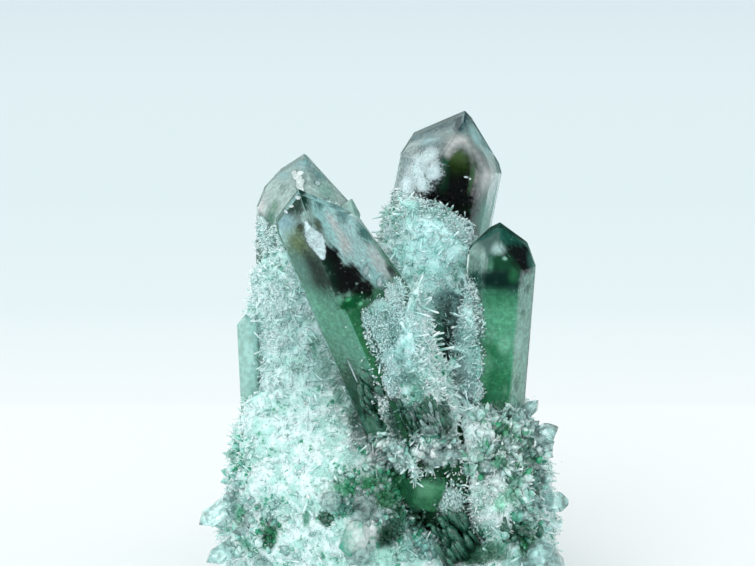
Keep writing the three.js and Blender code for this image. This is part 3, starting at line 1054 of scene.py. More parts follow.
@dataclass
class Frost:
    """Fine crystals that stand on a clear face: a fringe along the top of a coat, or a patch of its own.

    reach gives the height of its middle at some angles round the point, in degrees. Between them the height
    changes evenly. below and above are how far it spreads down and up.
    """

    reach: list[tuple[float, float]]
    needles: Needles
    below: float = 4.0
    above: float = 2.5

    def places(self, crystal: Crystal) -> Places:
        """Picks the places of its crystals on a point.

        Args:
            crystal: The point.

        Returns:
            The places and the outward directions.
        """
        random = np.random.default_rng(self.needles.seed + FRINGE_DRAW)
        angles, heights = zip(*self.reach)
        found = []
        while len(found) < self.needles.count:
            angle = random.uniform(angles[0], angles[-1])
            away = random.normal() * 0.5
            height = np.interp(angle, angles, heights) + away * (self.above if away > 0 else self.below)
            found.append(crystal.on_face(angle, height))
        places, outwards = zip(*found)
        return np.array(places), np.array(outwards)


@dataclass
class Fur:
    """Fine crystals that stand on a clear face wherever its coated patches lie.

    strewn is how widely they lie round a patch's middle, counted in its half sizes, and rim the square of the
    distance at which they end.
    """

    coated: list[Cloud]
    needles: Needles
    strewn: float = 0.6
    rim: float = 1.3

    def places(self, crystal: Crystal) -> Places:
        """Picks the places of its crystals on a point.

        Args:
            crystal: The point.

        Returns:
            The places and the outward directions.
        """
        random = np.random.default_rng(self.needles.seed + FUR_DRAW)
        centres = np.array([cloud.centre for cloud in self.coated])
        sizes = np.array([cloud.size for cloud in self.coated])
        shares = sizes[:, 0] * sizes[:, 2]
        inverse = crystal.frame().inverted()
        found = []
        while len(found) < self.needles.count:
            i = random.choice(len(centres), p=shares / shares.sum())
            at = centres[i] + random.normal(size=3) * sizes[i] * self.strewn
            angle = math.degrees(math.atan2(at[1], at[0])) + crystal.turn
            place, outwards = crystal.on_face(angle, at[2])
            off = (np.array(inverse @ place) - centres[i]) / sizes[i]
            if off @ off < self.rim:
                found.append((place, outwards))
        places, outwards = zip(*found)
        return np.array(places), np.array(outwards)


# The object


@dataclass
class Drift:
    """A heap of larger crystals strewn round a place.

    It thins out by fall with the square of the distance, counted in its half sizes, and ends where less than
    least of it is left.
    """

    name: str
    node: str
    centre: Triple
    size: Triple
    finish: Crystals
    crystals: Needles
    fall: float = 1.4
    least: float = 0.06

    def density(self, places: np.ndarray) -> np.ndarray:
        """Gives how dense the heap is at each of some places, and 0 where it has ended."""
        off = (places - np.array(self.centre)) / np.array(self.size)
        dense = np.exp(-self.fall * (off**2).sum(axis=1))
        dense[dense < self.least] = 0.0
        return dense


@dataclass
class Dressing:
    """What the crusts share: the solids and their search trees, the finishes and the places for heaps.

    The patches that hide a crust wholly, mostly dark painted shade in its gaps, are free of fine needles up
    to bare_rim, the square of the distance from their middle, counted in their half sizes.
    """

    solids: dict[str, bpy.types.Object]
    trees: dict[str, BVHTree]
    finishes: dict[Crystals, bpy.types.Material]
    pool: list[Places] = field(default_factory=list)
    bare_rim: float = 1.1

    def neighbours(self, node: str) -> list[BVHTree]:
        """Gives the search trees of the other solids."""
        return [tree for name, tree in self.trees.items() if name != node]

    def coat(self, crust: Crust, name: str) -> None:
        """Builds a crust: its skin, its fine needles and some longer ones.

        Args:
            crust: The crust.
            name: The start of its pieces' names.
        """
        node = crust.node
        patch = Patch.of(self.solids[node]).without(crust.bare)
        skin = crust.skin(patch, f"{name}_crust")
        places, outwards = crust.places(skin, patch, self.neighbours(node))
        settle(skin, self.finishes[Crystals.SKIN], Slot.DRUSE, node)
        self.pool.append((places, outwards))
        bare = np.zeros(len(places), bool)
        # The patches that hide the crust wholly, mostly dark painted shade in its gaps, are left free of fine
        # needles
        for seam in seams_and_painted_shade():
            if seam.cover == 1.0:
                off = (places - np.array(seam.centre)) / np.array(seam.size)
                bare |= (off**2).sum(axis=1) < self.bare_rim
        places, outwards = places[~bare], outwards[~bare]
        long = slice(0, crust.long.count)
        many = slice(crust.long.count, crust.long.count + crust.needles.count)
        back = places[many, 1] > 0
        whole = len(back) <= MOST_NEEDLES
        every = np.ones(len(back), bool)
        parts = {"needles": every} if whole else {"front_needles": ~back, "back_needles": back}
        for part, chosen in parts.items():
            piece = crust.needles.grow(f"{name}_{part}", places[many][chosen], outwards[many][chosen])
            settle(piece, self.finishes[Crystals.NEEDLES], Slot.DRUSE, node)
        piece = crust.long.grow(f"{name}_long_needles", places[long], outwards[long])
        settle(piece, self.finishes[Crystals.NEEDLES], Slot.DRUSE, node)

    def heap(self, drift: Drift) -> None:
        """Builds one heap of larger crystals on the places that the crusts and bare faces offer."""
        places = np.concatenate([found[0] for found in self.pool])
        outwards = np.concatenate([found[1] for found in self.pool])
        near = drift.density(places)
        random = np.random.default_rng(drift.crystals.seed)
        count = min(drift.crystals.count, np.count_nonzero(near))
        chosen = random.choice(len(near), count, replace=False, p=near / near.sum())
        piece = drift.crystals.grow(drift.name, places[chosen], outwards[chosen])
        settle(piece, self.finishes[drift.finish], Slot.DRUSE, drift.node)


@dataclass
class Core:
    """One body inside a clear crystal: its finish and how far under the faces it lies."""

    finish: Inside
    inset: float = 0.5
    lowered: float = 0.6


@dataclass
class LargePoint:
    """One of the large points: its clear crystal, what is inside it, its crust and the frost on its faces."""

    name: str
    crystal: Crystal
    cores: list[Core]
    crust: Crust
    frosts: list[Frost | Fur]
    patches: list[Cloud]
    density: float = 26.0

    def build_crystal(self) -> None:
        """Builds the clear crystal with what is inside it."""
        frame = self.crystal.metre_frame()
        node = self.crust.node
        glass = ClearQuartz(f"{self.name}_quartz", self.density, patches=self.patches)
        settle(self.crystal.build(f"{self.name}_crystal"), glass.material(frame), Slot.CLEAR, node)
        for core in self.cores:
            name = f"{core.finish.name}_core"
            piece = self.crystal.build(name, core.inset, core.lowered, bevel=0.2, start=2.0)
            settle(piece, core.finish.material(frame), Slot.CLEAR, node)

    def build_coat(self, dressing: Dressing) -> None:
        """Builds the crust on the crystal and the frost on its bare faces."""
        dressing.coat(self.crust, self.name)
        for i, frost in enumerate(self.frosts):
            places, outwards = frost.places(self.crystal)
            piece = frost.needles.grow(f"{self.name}_frost_{i + 1}", places, outwards)
            settle(piece, dressing.finishes[Crystals.NEEDLES], Slot.DRUSE, self.crust.node)


def long_needles(count: int, seed: int) -> Needles:
    """Describes the few long needles that lie on a crust."""
    return Needles(count, (2.2, 4.4), (0.14, 0.28), 3.2, 0.0, seed, SIDES)


def fur_needles(count: int, seed: int, longest: float = 1.6) -> Needles:
    """Describes the fine needles of the coated patches on a clear face."""
    return Needles(count, (0.5, longest), (0.11, 0.26), 2.4, seed=seed)


def leaning_point() -> LargePoint:
    """Describes the point in front that leans to the left."""
    crystal = Crystal(
        foot=(19.6, -6.9, 6.0),
        towards=(-35.2, -16.0, 86.0),
        length=94.29,
        side=8.9,
        turn=18.0,
        drop=(3.0, 5.6, -2.2, -0.1, -6.0, 6.8),
        spread=(3.2, 0.0, 0.0, 0.0, 0.0, 0.0),
        slopes={5: 17.0},
    )
    green = Inside(
        "leaning_green",
        crystal.length,
        front=[
            (0.15, (0.02, 0.08, 0.05)),
            (0.3, (0.05, 0.22, 0.12)),
            (0.42, (0.08, 0.26, 0.17)),
            (0.5, (0.16, 0.46, 0.34)),
            (0.69, (0.19, 0.52, 0.38)),
            (0.765, (0.15, 0.42, 0.31)),
            (0.805, (0.13, 0.3, 0.24)),
            (0.845, (0.2, 0.38, 0.3)),
            (0.9, (0.3, 0.45, 0.42)),
        ],
        side=[
            (0.15, (0.01, 0.05, 0.02)),
            (0.3, (0.05, 0.2, 0.09)),
            (0.48, (0.05, 0.24, 0.12)),
            (0.62, (0.06, 0.3, 0.13)),
            (0.7, (0.03, 0.22, 0.09)),
            (0.74, (0.2, 0.42, 0.32)),
            (0.85, (0.45, 0.66, 0.62)),
        ],
        turn=180.0,
        edge=(3.95, 4.2),
        clouds=[
            Cloud((3.6, -0.4, 77.5), (9.0, 7.8, 12.4), (0.565, 0.93, 0.93), 1.0, 0.2, 0.12),
            Cloud((3.6, -0.4, 76.7), (5.4, 6.6, 6.0), (0.679, 0.93, 0.93), 0.8, 0.5, 0.6),
            Cloud((6.8, 1.0, 69.9), (1.8, 5.0, 4.4), (0.884, 0.93, 0.93), 0.8, 0.8),
            Cloud((1.4, -2.2, 79.9), (1.0, 3.8, 3.2), (0.884, 0.93, 0.93), 0.7, 0.8, 0.6),
            Cloud((1.7, 1.9, 85.8), (3.0, 3.6, 1.2), (0.09, 0.219, 0.229), 0.9, 0.6, 0.6),
            Cloud((5.5, 5.2, 80.6), (4.0, 4.6, 1.6), (0.136, 0.324, 0.336), 0.9, 0.5, 0.6),
            Cloud((7.3, 5.2, 75.2), (2.2, 3.0, 2.4), (0.064, 0.238, 0.219), 0.9, 0.6),
            Cloud((1.5, -3.7, 77.2), (2.4, 3.0, 1.6), WHITE, 0.8, 0.3, 0.9),
            Cloud((1.5, -0.7, 82.1), (1.2, 2.0, 1.4), WHITE, 0.8, 0.3, 0.9),
            Cloud((-2.0, -5.6, 83.9), (1.2, 2.0, 1.4), (0.122, 0.151, 0.09), 0.9, 0.35),
            Cloud((-3.1, -7.8, 79.2), (0.8, 2.6, 2.0), BLACK, 1.0, 0.3, 0.3),
            Cloud((-2.7, -7.8, 76.8), (1.8, 2.6, 3.2), BLACK, 1.0, 0.4, 0.3),
            Cloud((-2.7, -7.8, 73.0), (2.0, 2.8, 3.2), BLACK, 1.0, 0.4, 0.3),
            Cloud((-1.2, -7.8, 72.4), (3.2, 3.2, 3.0), BLACK, 1.0, 0.45, 0.3),
            Cloud((0.5, -7.8, 69.0), (2.4, 2.6, 2.0), BLACK, 1.0, 0.5, 0.3),
            Cloud((-2.5, -7.8, 67.9), (2.6, 2.4, 1.4), (0.004, 0.136, 0.041), 1.0, 0.6),
            Cloud((-2.8, -7.8, 68.7), (0.6, 2.2, 0.4), (0.122, 0.658, 0.301), 0.9, 0.8),
            Cloud((-1.0, -7.8, 66.9), (0.5, 2.2, 0.4), (0.294, 0.93, 0.561), 0.9, 0.8),
            Cloud((-4.2, -1.3, 88.9), (3.4, 4.0, 2.8), (0.004, 0.054, 0.034), 1.0, 0.4, 0.35),
            Cloud((-7.4, -1.2, 85.5), (2.4, 3.0, 1.8), (0.336, 0.582, 0.641), 1.0, 0.3),
            Cloud((-8.3, -1.1, 83.2), (1.6, 2.4, 1.8), (0.574, 0.867, 0.867), 1.0, 0.3, 0.8),
            Cloud((-5.5, -5.4, 84.9), (1.2, 1.8, 1.2), (0.01, 0.027, 0.003), 1.0, 0.3),
            Cloud((-6.8, -3.8, 81.4), (2.2, 3.2, 2.6), (0.238, 0.348, 0.167), 1.0, 0.3, 0.7),
            Cloud((-6.0, -5.2, 75.7), (2.6, 5.4, 4.8), (0.004, 0.038, 0.021), 1.0, 0.35, 0.6),
            Cloud((-7.7, -2.2, 76.7), (1.2, 4.2, 3.6), (0.201, 0.439, 0.36), 0.9, 0.4, 0.8),
            Cloud((8.9, 2.3, 66.1), (1.2, 2.6, 2.0), BLACK, 1.0, 0.6),
            Cloud((8.6, 0.1, 63.4), (2.4, 3.0, 2.0), (0.612, 0.93, 0.865), 0.9, 0.6, 0.6),
            Cloud((-4.9, -7.4, 28.0), (2.6, 3.2, 2.6), (0.301, 0.797, 0.535), 0.9, 0.5, 0.7),
            Cloud((-5.7, -6.0, 31.6), (2.4, 3.0, 2.4), (0.041, 0.248, 0.096), 0.8, 0.5, 0.7),
            Cloud((0.2, -8.0, 29.1), (3.2, 3.8, 2.8), (0.01, 0.122, 0.046), 0.9, 0.5, 0.7),
            Cloud((-3.6, -8.0, 24.2), (3.6, 4.2, 3.2), (0.024, 0.179, 0.069), 0.9, 0.5, 0.7),
            Cloud((-2.7, -8.0, 15.6), (5.6, 6.2, 5.6), BLACK, 1.0, 0.6, 0.7),
            Cloud((-8.0, -1.8, 65.8), (2.0, 6.2, 5.6), (0.248, 0.615, 0.46), 0.8, 0.4, 0.8),
            Cloud((-7.2, -3.2, 63.1), (1.6, 5.0, 4.4), (0.136, 0.439, 0.313), 0.6, 0.5, 0.8),
            Cloud((-8.6, -0.8, 56.0), (2.0, 5.8, 5.2), (0.09, 0.301, 0.201), 0.7, 0.5, 0.7),
            Cloud((-8.0, -1.9, 50.2), (2.6, 5.8, 5.2), (0.015, 0.109, 0.059), 0.9, 0.6),
            Cloud((-6.8, -4.0, 44.8), (2.4, 4.6, 4.0), (0.046, 0.258, 0.136), 0.8, 0.6, 0.6),
            Cloud((-8.1, -1.8, 46.3), (1.8, 3.8, 3.2), (0.003, 0.069, 0.03), 0.9, 0.6),
        ],
    )
    coated = [
        Cloud((1.5, -7.8, 63.7), (3.0, 3.6, 2.2), COAT, 1.0, 0.6, 0.3),
        Cloud((1.9, -7.8, 59.5), (2.8, 3.8, 3.2), COAT, 1.0, 0.6, 0.3),
        Cloud((1.3, -7.9, 55.0), (2.8, 4.6, 4.0), COAT_DEEP, 1.0, 0.6, 0.3),
        Cloud((0.7, -7.9, 49.5), (2.4, 4.6, 4.0), COAT, 1.0, 0.6, 0.3),
        Cloud((-0.4, -7.9, 44.9), (1.6, 3.4, 2.8), COAT, 1.0, 0.6, 0.3),
        Cloud((-2.1, -7.9, 49.6), (1.2, 3.4, 2.8), FROST_DEEP, 0.9, 0.7, 0.3),
        Cloud((-0.4, -8.0, 21.8), (2.2, 3.6, 3.0), (0.301, 0.527, 0.462), 1.0, 0.8, 0.3),
        Cloud((8.6, 0.1, 63.4), (2.0, 2.6, 1.8), COAT, 1.0, 0.7, 0.3),
    ]
    patches = [
        *coated,
        # A painted highlight: pale patches in a chain right of the ridge, where the face's upper part
        # reflects the light.
        *alike(
            (0.452, 0.584, 0.596),
            (1.0, 0.25, 0.3),
            ((-4.2, -6.8, 85.5), (0.3, 1.2, 0.6)),
            ((-4.4, -7.4, 84.9), (0.6, 1.3, 0.7)),
            ((-4.4, -7.8, 84.1), (1.0, 1.6, 0.8)),
            ((-4.3, -7.8, 83.2), (1.5, 2.1, 0.9)),
            ((-4.1, -7.8, 82.3), (1.9, 2.5, 0.9)),
            ((-4.1, -7.8, 81.4), (1.7, 2.3, 0.9)),
            ((-4.0, -7.8, 80.5), (1.3, 1.9, 0.9)),
            ((-4.0, -7.8, 79.7), (1.0, 1.6, 0.9)),
            ((-4.1, -7.8, 78.9), (0.6, 1.4, 0.8)),
        ),
        *alike(
            GLINT,
            (0.9, 0.9, 0.3),
            ((-4.7, -1.4, 88.3), (0.4, 1.0, 0.2)),
            ((-5.9, -0.6, 87.5), (0.2, 1.0, 0.4)),
            ((-3.1, -2.5, 89.5), (0.4, 1.0, 0.3)),
        ),
        Cloud((3.0, -4.6, 71.4), (1.8, 2.4, 0.6), (0.488, 0.608, 0.621), 0.6, 0.9, 0.4),
        Cloud((4.7, -3.9, 67.8), (1.8, 2.4, 0.6), (0.488, 0.608, 0.608), 0.7, 0.9, 0.3),
        Cloud((5.0, -4.9, 65.2), (1.6, 2.2, 1.0), (0.442, 0.584, 0.561), 0.9, 0.7, 0.3),
        Cloud((-7.0, -3.6, 53.8), (0.1, 3.6, 3.0), FROST_DEEP, 0.8, 0.9, 0.4),
        Cloud((-7.0, -3.5, 47.9), (0.1, 3.0, 2.4), FROST_DEEP, 0.8, 0.9, 0.4),
    ]
    frosts = [
        Frost(
            [(268, 58), (278, 64), (300, 62), (345, 64), (360, 65)],
            Needles(1500, (0.5, 1.5), seed=31),
            below=5.0,
            above=1.4,
        ),
        Frost([(271, 34), (276, 50), (300, 52), (340, 52)], Needles(900, (0.6, 1.9), seed=32), 20.0, 14.0),
        Fur(coated, fur_needles(2400, 41, longest=1.7)),
        Frost([(246, 44), (262, 46)], Needles(500, (0.5, 1.4), seed=39), 7.0, 9.0),
    ]
    crust = Crust("leaning_point", [crystal], Needles(4800, seed=4), long_needles(140, 14))
    return LargePoint("leaning", crystal, [Core(green)], crust, frosts, patches, density=34.0)


def right_point() -> LargePoint:
    """Describes the short point at the right."""
    crystal = Crystal(
        foot=(20.75, 0.0, 27.0),
        towards=(3.65, -3.6, 53.4),
        length=53.65,
        side=6.8,
        turn=0.0,
        drop=(-1.0, 2.4, -0.2, 0.6, -6.0, 2.8),
    )
    green = Inside(
        "right_green",
        crystal.length,
        front=[
            (0.25, (0.04, 0.24, 0.11)),
            (0.39, (0.06, 0.34, 0.17)),
            (0.48, (0.12, 0.46, 0.28)),
            (0.62, (0.17, 0.52, 0.35)),
            (0.7, (0.14, 0.44, 0.3)),
            (0.745, (0.04, 0.13, 0.1)),
            (0.82, (0.05, 0.12, 0.09)),
            (0.86, (0.18, 0.4, 0.25)),
            (0.9, (0.3, 0.45, 0.38)),
        ],
        side=[
            (0.3, (0.34, 0.64, 0.53)),
            (0.78, (0.3, 0.58, 0.49)),
            (0.85, (0.14, 0.28, 0.22)),
            (0.93, (0.1, 0.2, 0.16)),
        ],
        turn=90.0,
        edge=(5.15, 5.35),
        clouds=[
            Cloud((-3.5, -1.6, 48.1), (3.4, 5.4, 4.8), (0.064, 0.192, 0.179), 1.0, 0.35),
            Cloud((2.1, 0.5, 48.9), (5.6, 6.2, 4.8), (0.015, 0.143, 0.102), 1.0, 0.35),
            Cloud((3.5, -3.1, 44.9), (5.2, 5.8, 2.8), BLACK, 1.0, 0.3, 0.3),
            Cloud((5.8, 1.3, 45.3), (2.0, 2.6, 1.8), BLACK, 1.0, 0.3, 0.4),
            Cloud((-1.7, -5.2, 47.9), (0.8, 1.8, 1.2), (0.301, 0.542, 0.512), 0.8, 0.6, 0.8),
            # A painted highlight, where the faces of the tip meet.
            Cloud((-1.3, -5.9, 47.1), (1.4, 2.0, 1.0), (0.658, 0.93, 0.908), 0.9, 0.7, 0.8),
            Cloud((5.6, 0.0, 44.7), (1.0, 3.0, 2.4), (0.064, 0.201, 0.167), 0.9, 0.4, 0.6),
            Cloud((-0.7, -5.9, 44.5), (2.6, 3.2, 1.8), (0.015, 0.109, 0.054), 1.0, 0.4),
            Cloud((0.2, -5.9, 45.6), (0.5, 1.1, 0.4), (0.486, 0.93, 0.779), 0.8, 0.9),
            Cloud((-2.6, -5.9, 43.6), (0.6, 2.2, 1.6), (0.159, 0.425, 0.301), 0.8, 0.7, 0.6),
            Cloud((-3.8, -5.3, 44.5), (0.6, 3.4, 2.8), (0.574, 0.826, 0.749), 0.9, 0.3, 0.6),
            Cloud((-0.4, -6.0, 41.1), (4.4, 5.0, 2.0), (0.003, 0.03, 0.024), 1.0, 0.3),
            Cloud((2.2, -6.0, 42.5), (1.0, 2.2, 1.6), (0.03, 0.201, 0.085), 0.9, 0.3, 0.7),
            Cloud((-0.5, -6.0, 37.2), (3.6, 4.2, 1.8), (0.041, 0.279, 0.129), 0.8, 0.4, 0.9),
            Cloud((0.2, -6.0, 33.2), (2.6, 3.8, 3.2), (0.167, 0.574, 0.36), 0.85, 0.4, 0.9),
            Cloud((-1.2, -6.0, 26.6), (2.6, 3.2, 2.0), (0.018, 0.238, 0.09), 0.8, 0.6, 0.8),
            Cloud((1.4, -6.0, 28.2), (1.2, 2.2, 1.6), (0.36, 0.847, 0.615), 0.7, 0.7, 0.7),
            Cloud((-2.0, -6.0, 23.2), (1.0, 3.4, 2.8), (0.301, 0.749, 0.497), 0.6, 0.6, 0.8),
            Cloud((0.6, -6.0, 21.4), (2.4, 3.0, 2.0), (0.03, 0.258, 0.109), 0.7, 0.5, 0.8),
            Cloud((-5.6, -2.1, 44.1), (1.6, 4.0, 3.4), (0.399, 0.624, 0.558), 1.0, 0.4, 0.6),
            Cloud((-5.3, -2.8, 39.4), (1.8, 3.4, 2.8), (0.018, 0.122, 0.085)),
            Cloud((-4.4, -4.4, 34.5), (1.2, 3.4, 2.8), (0.248, 0.615, 0.482), 0.8, 0.5, 0.7),
            Cloud((5.3, -2.8, 38.9), (0.8, 1.8, 1.2), (0.041, 0.175, 0.122), 0.8, 0.7),
            Cloud((4.8, -3.6, 34.1), (0.8, 1.4, 0.8), (0.052, 0.219, 0.143), 0.8, 0.7),
            Cloud((4.6, -4.1, 19.6), (0.8, 2.2, 1.6), (0.064, 0.248, 0.167), 0.8, 0.7),
            Cloud((4.3, -4.6, 28.0), (0.8, 2.6, 2.0), (0.599, 0.93, 0.829), 0.6, 0.6, 0.7),
        ],
        streak=3.0,
    )
    coated = [
        Cloud((-5.0, -3.4, 30.1), (1.0, 4.2, 3.6), COAT, 1.0, 0.9, 0.3),
        Cloud((-6.2, -1.3, 31.1), (1.6, 6.6, 6.0), COAT, 1.0, 0.8, 0.3),
        Cloud((-4.0, -5.2, 24.1), (1.4, 5.0, 4.4), COAT_DEEP, 1.0, 0.8, 0.3),
        Cloud((-3.4, -6.1, 18.2), (1.4, 3.0, 2.4), COAT, 1.0, 0.9, 0.3),
        Cloud((-5.6, -2.4, 18.6), (2.6, 4.6, 4.0), COAT, 1.0, 0.7, 0.3),
    ]
    frosts = [
        Frost([(140, 38), (215, 38), (238, 34), (246, 30)], Needles(900, (0.4, 1.4), seed=33), 7.0, 2.0),
        Frost([(246, 13), (300, 14), (360, 13)], Needles(500, (0.5, 1.8), seed=34), 3.0, 1.2),
        Fur(coated, fur_needles(1400, 42)),
    ]
    crust = Crust("right_point", [crystal], Needles(2800, seed=5), long_needles(70, 15))
    return LargePoint("right", crystal, [Core(green)], crust, frosts, coated)


def tall_point() -> LargePoint:
    """Describes the tallest point, with the dark green phantom in its tip."""
    crystal = Crystal(
        foot=(-0.2, 11.5, 12.0),
        towards=(17.1, 1.9, 89.8),
        length=91.43,
        side=10.3,
        turn=0.0,
        drop=(0.8, 2.3, -14.0, 3.8, 1.6, 2.6),
        spread=(0.0, 0.0, 1.4, -0.7, 0.0, 0.0),
    )
    phantom = Inside(
        "tall_phantom",
        crystal.length,
        front=[
            (0.4, (0.03, 0.16, 0.08)),
            (0.66, (0.01, 0.05, 0.03)),
            (0.75, (0.004, 0.016, 0.01)),
            (0.86, (0.006, 0.02, 0.012)),
            (0.885, (0.06, 0.13, 0.05)),
            (0.905, (0.42, 0.38, 0.2)),
            (0.925, (0.8, 0.76, 0.62)),
        ],
        side=[(0.4, (0.03, 0.16, 0.08)), (0.86, (0.01, 0.03, 0.02)), (0.925, (0.6, 0.6, 0.5))],
    )
    haze = Inside(
        "tall_haze",
        crystal.length,
        front=[(0.5, (0.2, 0.45, 0.36)), (0.8, (0.5, 0.72, 0.7)), (0.95, (0.6, 0.8, 0.8))],
        side=[(0.5, (0.2, 0.45, 0.36)), (0.8, (0.5, 0.72, 0.7)), (0.95, (0.6, 0.8, 0.8))],
        clouds=[
            *alike(
                (0.05, 0.143, 0.163),
                (1.0, 0.3, 0.6),
                ((-8.9, 5.0, 81.0), (2.4, 3.0, 1.8)),
                ((-6.6, 3.8, 82.8), (2.8, 3.4, 1.6)),
                ((-3.8, 2.1, 84.7), (3.0, 3.6, 1.6)),
                ((-1.1, 0.4, 86.6), (2.6, 3.2, 1.6)),
            ),
            Cloud((-5.6, -1.4, 80.5), (4.4, 5.0, 1.6), (0.373, 0.641, 0.676), 0.9, 0.4, 0.8),
            Cloud((-4.0, -0.6, 82.9), (0.6, 1.6, 1.0), (0.788, 0.93, 0.93), 0.7, 0.9, 0.6),
            Cloud((-6.5, 1.4, 81.4), (0.4, 1.4, 0.8), (0.788, 0.93, 0.93), 0.7, 0.9, 0.6),
            Cloud((-1.8, -2.2, 84.2), (0.8, 1.4, 0.6), (0.574, 0.867, 0.887), 0.7, 0.9, 0.6),
            Cloud((0.2, -2.2, 86.5), (1.2, 3.6, 3.0), (0.018, 0.059, 0.074), 1.0, 0.3, 0.4),
            Cloud((3.6, -1.1, 84.1), (2.0, 4.0, 3.4), (0.596, 0.93, 0.93), 0.9, 0.9, 0.8),
            Cloud((6.7, 0.1, 81.5), (1.4, 3.4, 2.8), (0.467, 0.847, 0.857), 0.8, 0.9, 0.8),
            Cloud((1.2, -9.0, 76.0), (4.2, 5.0, 4.2), BLACK, 1.0, 0.4, 0.3),
            Cloud((2.9, -9.0, 71.4), (5.2, 5.0, 4.4), BLACK, 1.0, 0.4, 0.25),
            Cloud((-2.8, -9.0, 71.6), (5.2, 5.0, 2.6), BLACK, 1.0, 0.5, 0.3),
            Cloud((5.4, -8.7, 67.3), (3.2, 5.0, 3.6), (0.003, 0.01, 0.003), 1.0, 0.5, 0.4),
            Cloud((0.7, -8.7, 78.8), (3.4, 4.0, 2.4), (0.015, 0.041, 0.004), 1.0, 0.4, 0.6),
            Cloud((0.9, -7.8, 79.9), (2.4, 3.0, 1.4), (0.079, 0.143, 0.038), 1.0, 0.4, 0.7),
            Cloud((-1.5, -9.0, 75.1), (1.0, 3.4, 2.8), (0.004, 0.046, 0.015), 0.9, 0.7, 0.6),
            *alike(
                WHITE,
                (0.9, 0.7, 0.8),
                ((-2.6, -7.8, 79.9), (1.6, 2.2, 1.0)),
                ((-1.9, -7.1, 80.8), (1.6, 2.2, 1.0)),
                ((-1.2, -6.4, 81.7), (1.6, 2.2, 1.0)),
                ((-0.3, -5.9, 82.4), (1.6, 2.2, 1.0)),
                ((0.6, -5.4, 82.9), (1.6, 2.2, 1.0)),
                ((1.6, -5.4, 82.9), (1.6, 2.2, 1.0)),
                ((2.8, -5.7, 82.1), (1.6, 2.2, 1.0)),
                ((3.8, -5.5, 81.1), (1.6, 2.2, 1.0)),
                ((4.9, -5.4, 80.0), (1.6, 2.2, 1.0)),
                ((5.7, -5.9, 78.8), (1.6, 2.2, 1.0)),
            ),
            Cloud((7.2, -5.4, 76.4), (2.6, 4.6, 4.0), WHITE, 1.0, 0.9, 0.9),
            Cloud((4.0, -9.0, 76.2), (0.5, 3.8, 3.2), (0.064, 0.183, 0.069), 0.8, 0.7, 0.6),
            Cloud((10.1, -0.5, 71.4), (1.0, 5.0, 4.4), (0.33, 0.615, 0.574), 0.9, 0.3, 0.6),
            Cloud((7.8, -4.6, 68.7), (1.8, 5.0, 4.4), (0.167, 0.574, 0.453), 0.8, 0.9, 0.9),
            Cloud((8.8, -2.7, 66.8), (1.6, 3.4, 2.8), (0.201, 0.607, 0.497), 0.8, 0.9, 0.9),
            Cloud((-2.3, -9.0, 77.4), (1.0, 2.4, 1.8), (0.01, 0.159, 0.064), 0.8),
        ],
        cover=0.5,
    )
    coated = [
        *alike(
            COAT,
            (1.0, 0.4, 0.2),
            ((-8.3, -2.3, 68.5), (2.6, 3.2, 1.8)),
            ((-5.3, -7.4, 67.8), (3.2, 3.8, 1.6)),
            ((-2.0, -9.0, 67.2), (3.0, 3.6, 1.8)),
            ((1.6, -9.0, 65.8), (3.0, 3.6, 2.2)),
            ((4.4, -9.0, 63.9), (2.4, 3.0, 2.4)),
            ((6.9, -6.1, 61.1), (1.8, 3.2, 2.6)),
        ),
        Cloud((0.1, -9.1, 62.7), (5.2, 5.8, 3.2), COAT_DEEP, 1.0, 0.4, 0.2),
    ]
    patches = [
        *coated,
        Cloud((2.8, -9.0, 76.1), (0.4, 1.0, 0.2), GLINT, 0.9, 0.9, 0.4),
        Cloud((3.7, -9.0, 75.9), (0.2, 0.8, 0.2), GLINT, 0.9, 0.9, 0.4),
        Cloud((-6.7, -4.9, 75.3), (3.8, 4.4, 3.8), FROST, 0.95, 1.0, 0.8),
        Cloud((-5.3, -5.2, 78.5), (2.6, 3.2, 2.2), FROST_DEEP, 0.85, 1.0, 0.8),
        Cloud((-4.0, -9.0, 75.8), (1.8, 2.8, 2.2), FROST, 0.9, 1.0, 0.7),
        Cloud((-8.2, -2.4, 71.4), (2.4, 3.2, 2.6), FROST, 1.0, 0.7),
        Cloud((-5.5, -7.0, 73.1), (2.2, 2.8, 1.8), FROST, 0.95, 0.8),
    ]
    frosts = [
        Frost(
            [(90, 66), (174, 69), (223, 69.5), (262, 69.5), (283, 68), (302, 67), (323, 63)],
            Needles(1600, (0.5, 1.5), seed=35),
            below=4.5,
            above=0.6,
        ),
        Fur(coated, fur_needles(2200, 43)),
        Frost(
            [(190, 74), (225, 75), (246, 73)],
            Needles(500, (0.3, 0.8), (0.05, 0.12), 3.0, seed=36),
            below=3.0,
            above=5.0,
        ),
    ]
    crust = Crust("tall_point", [crystal], Needles(8500, seed=2), long_needles(220, 12))
    cores = [Core(phantom, inset=3.6, lowered=0.5), Core(haze)]
    return LargePoint("tall", crystal, cores, crust, frosts, patches)


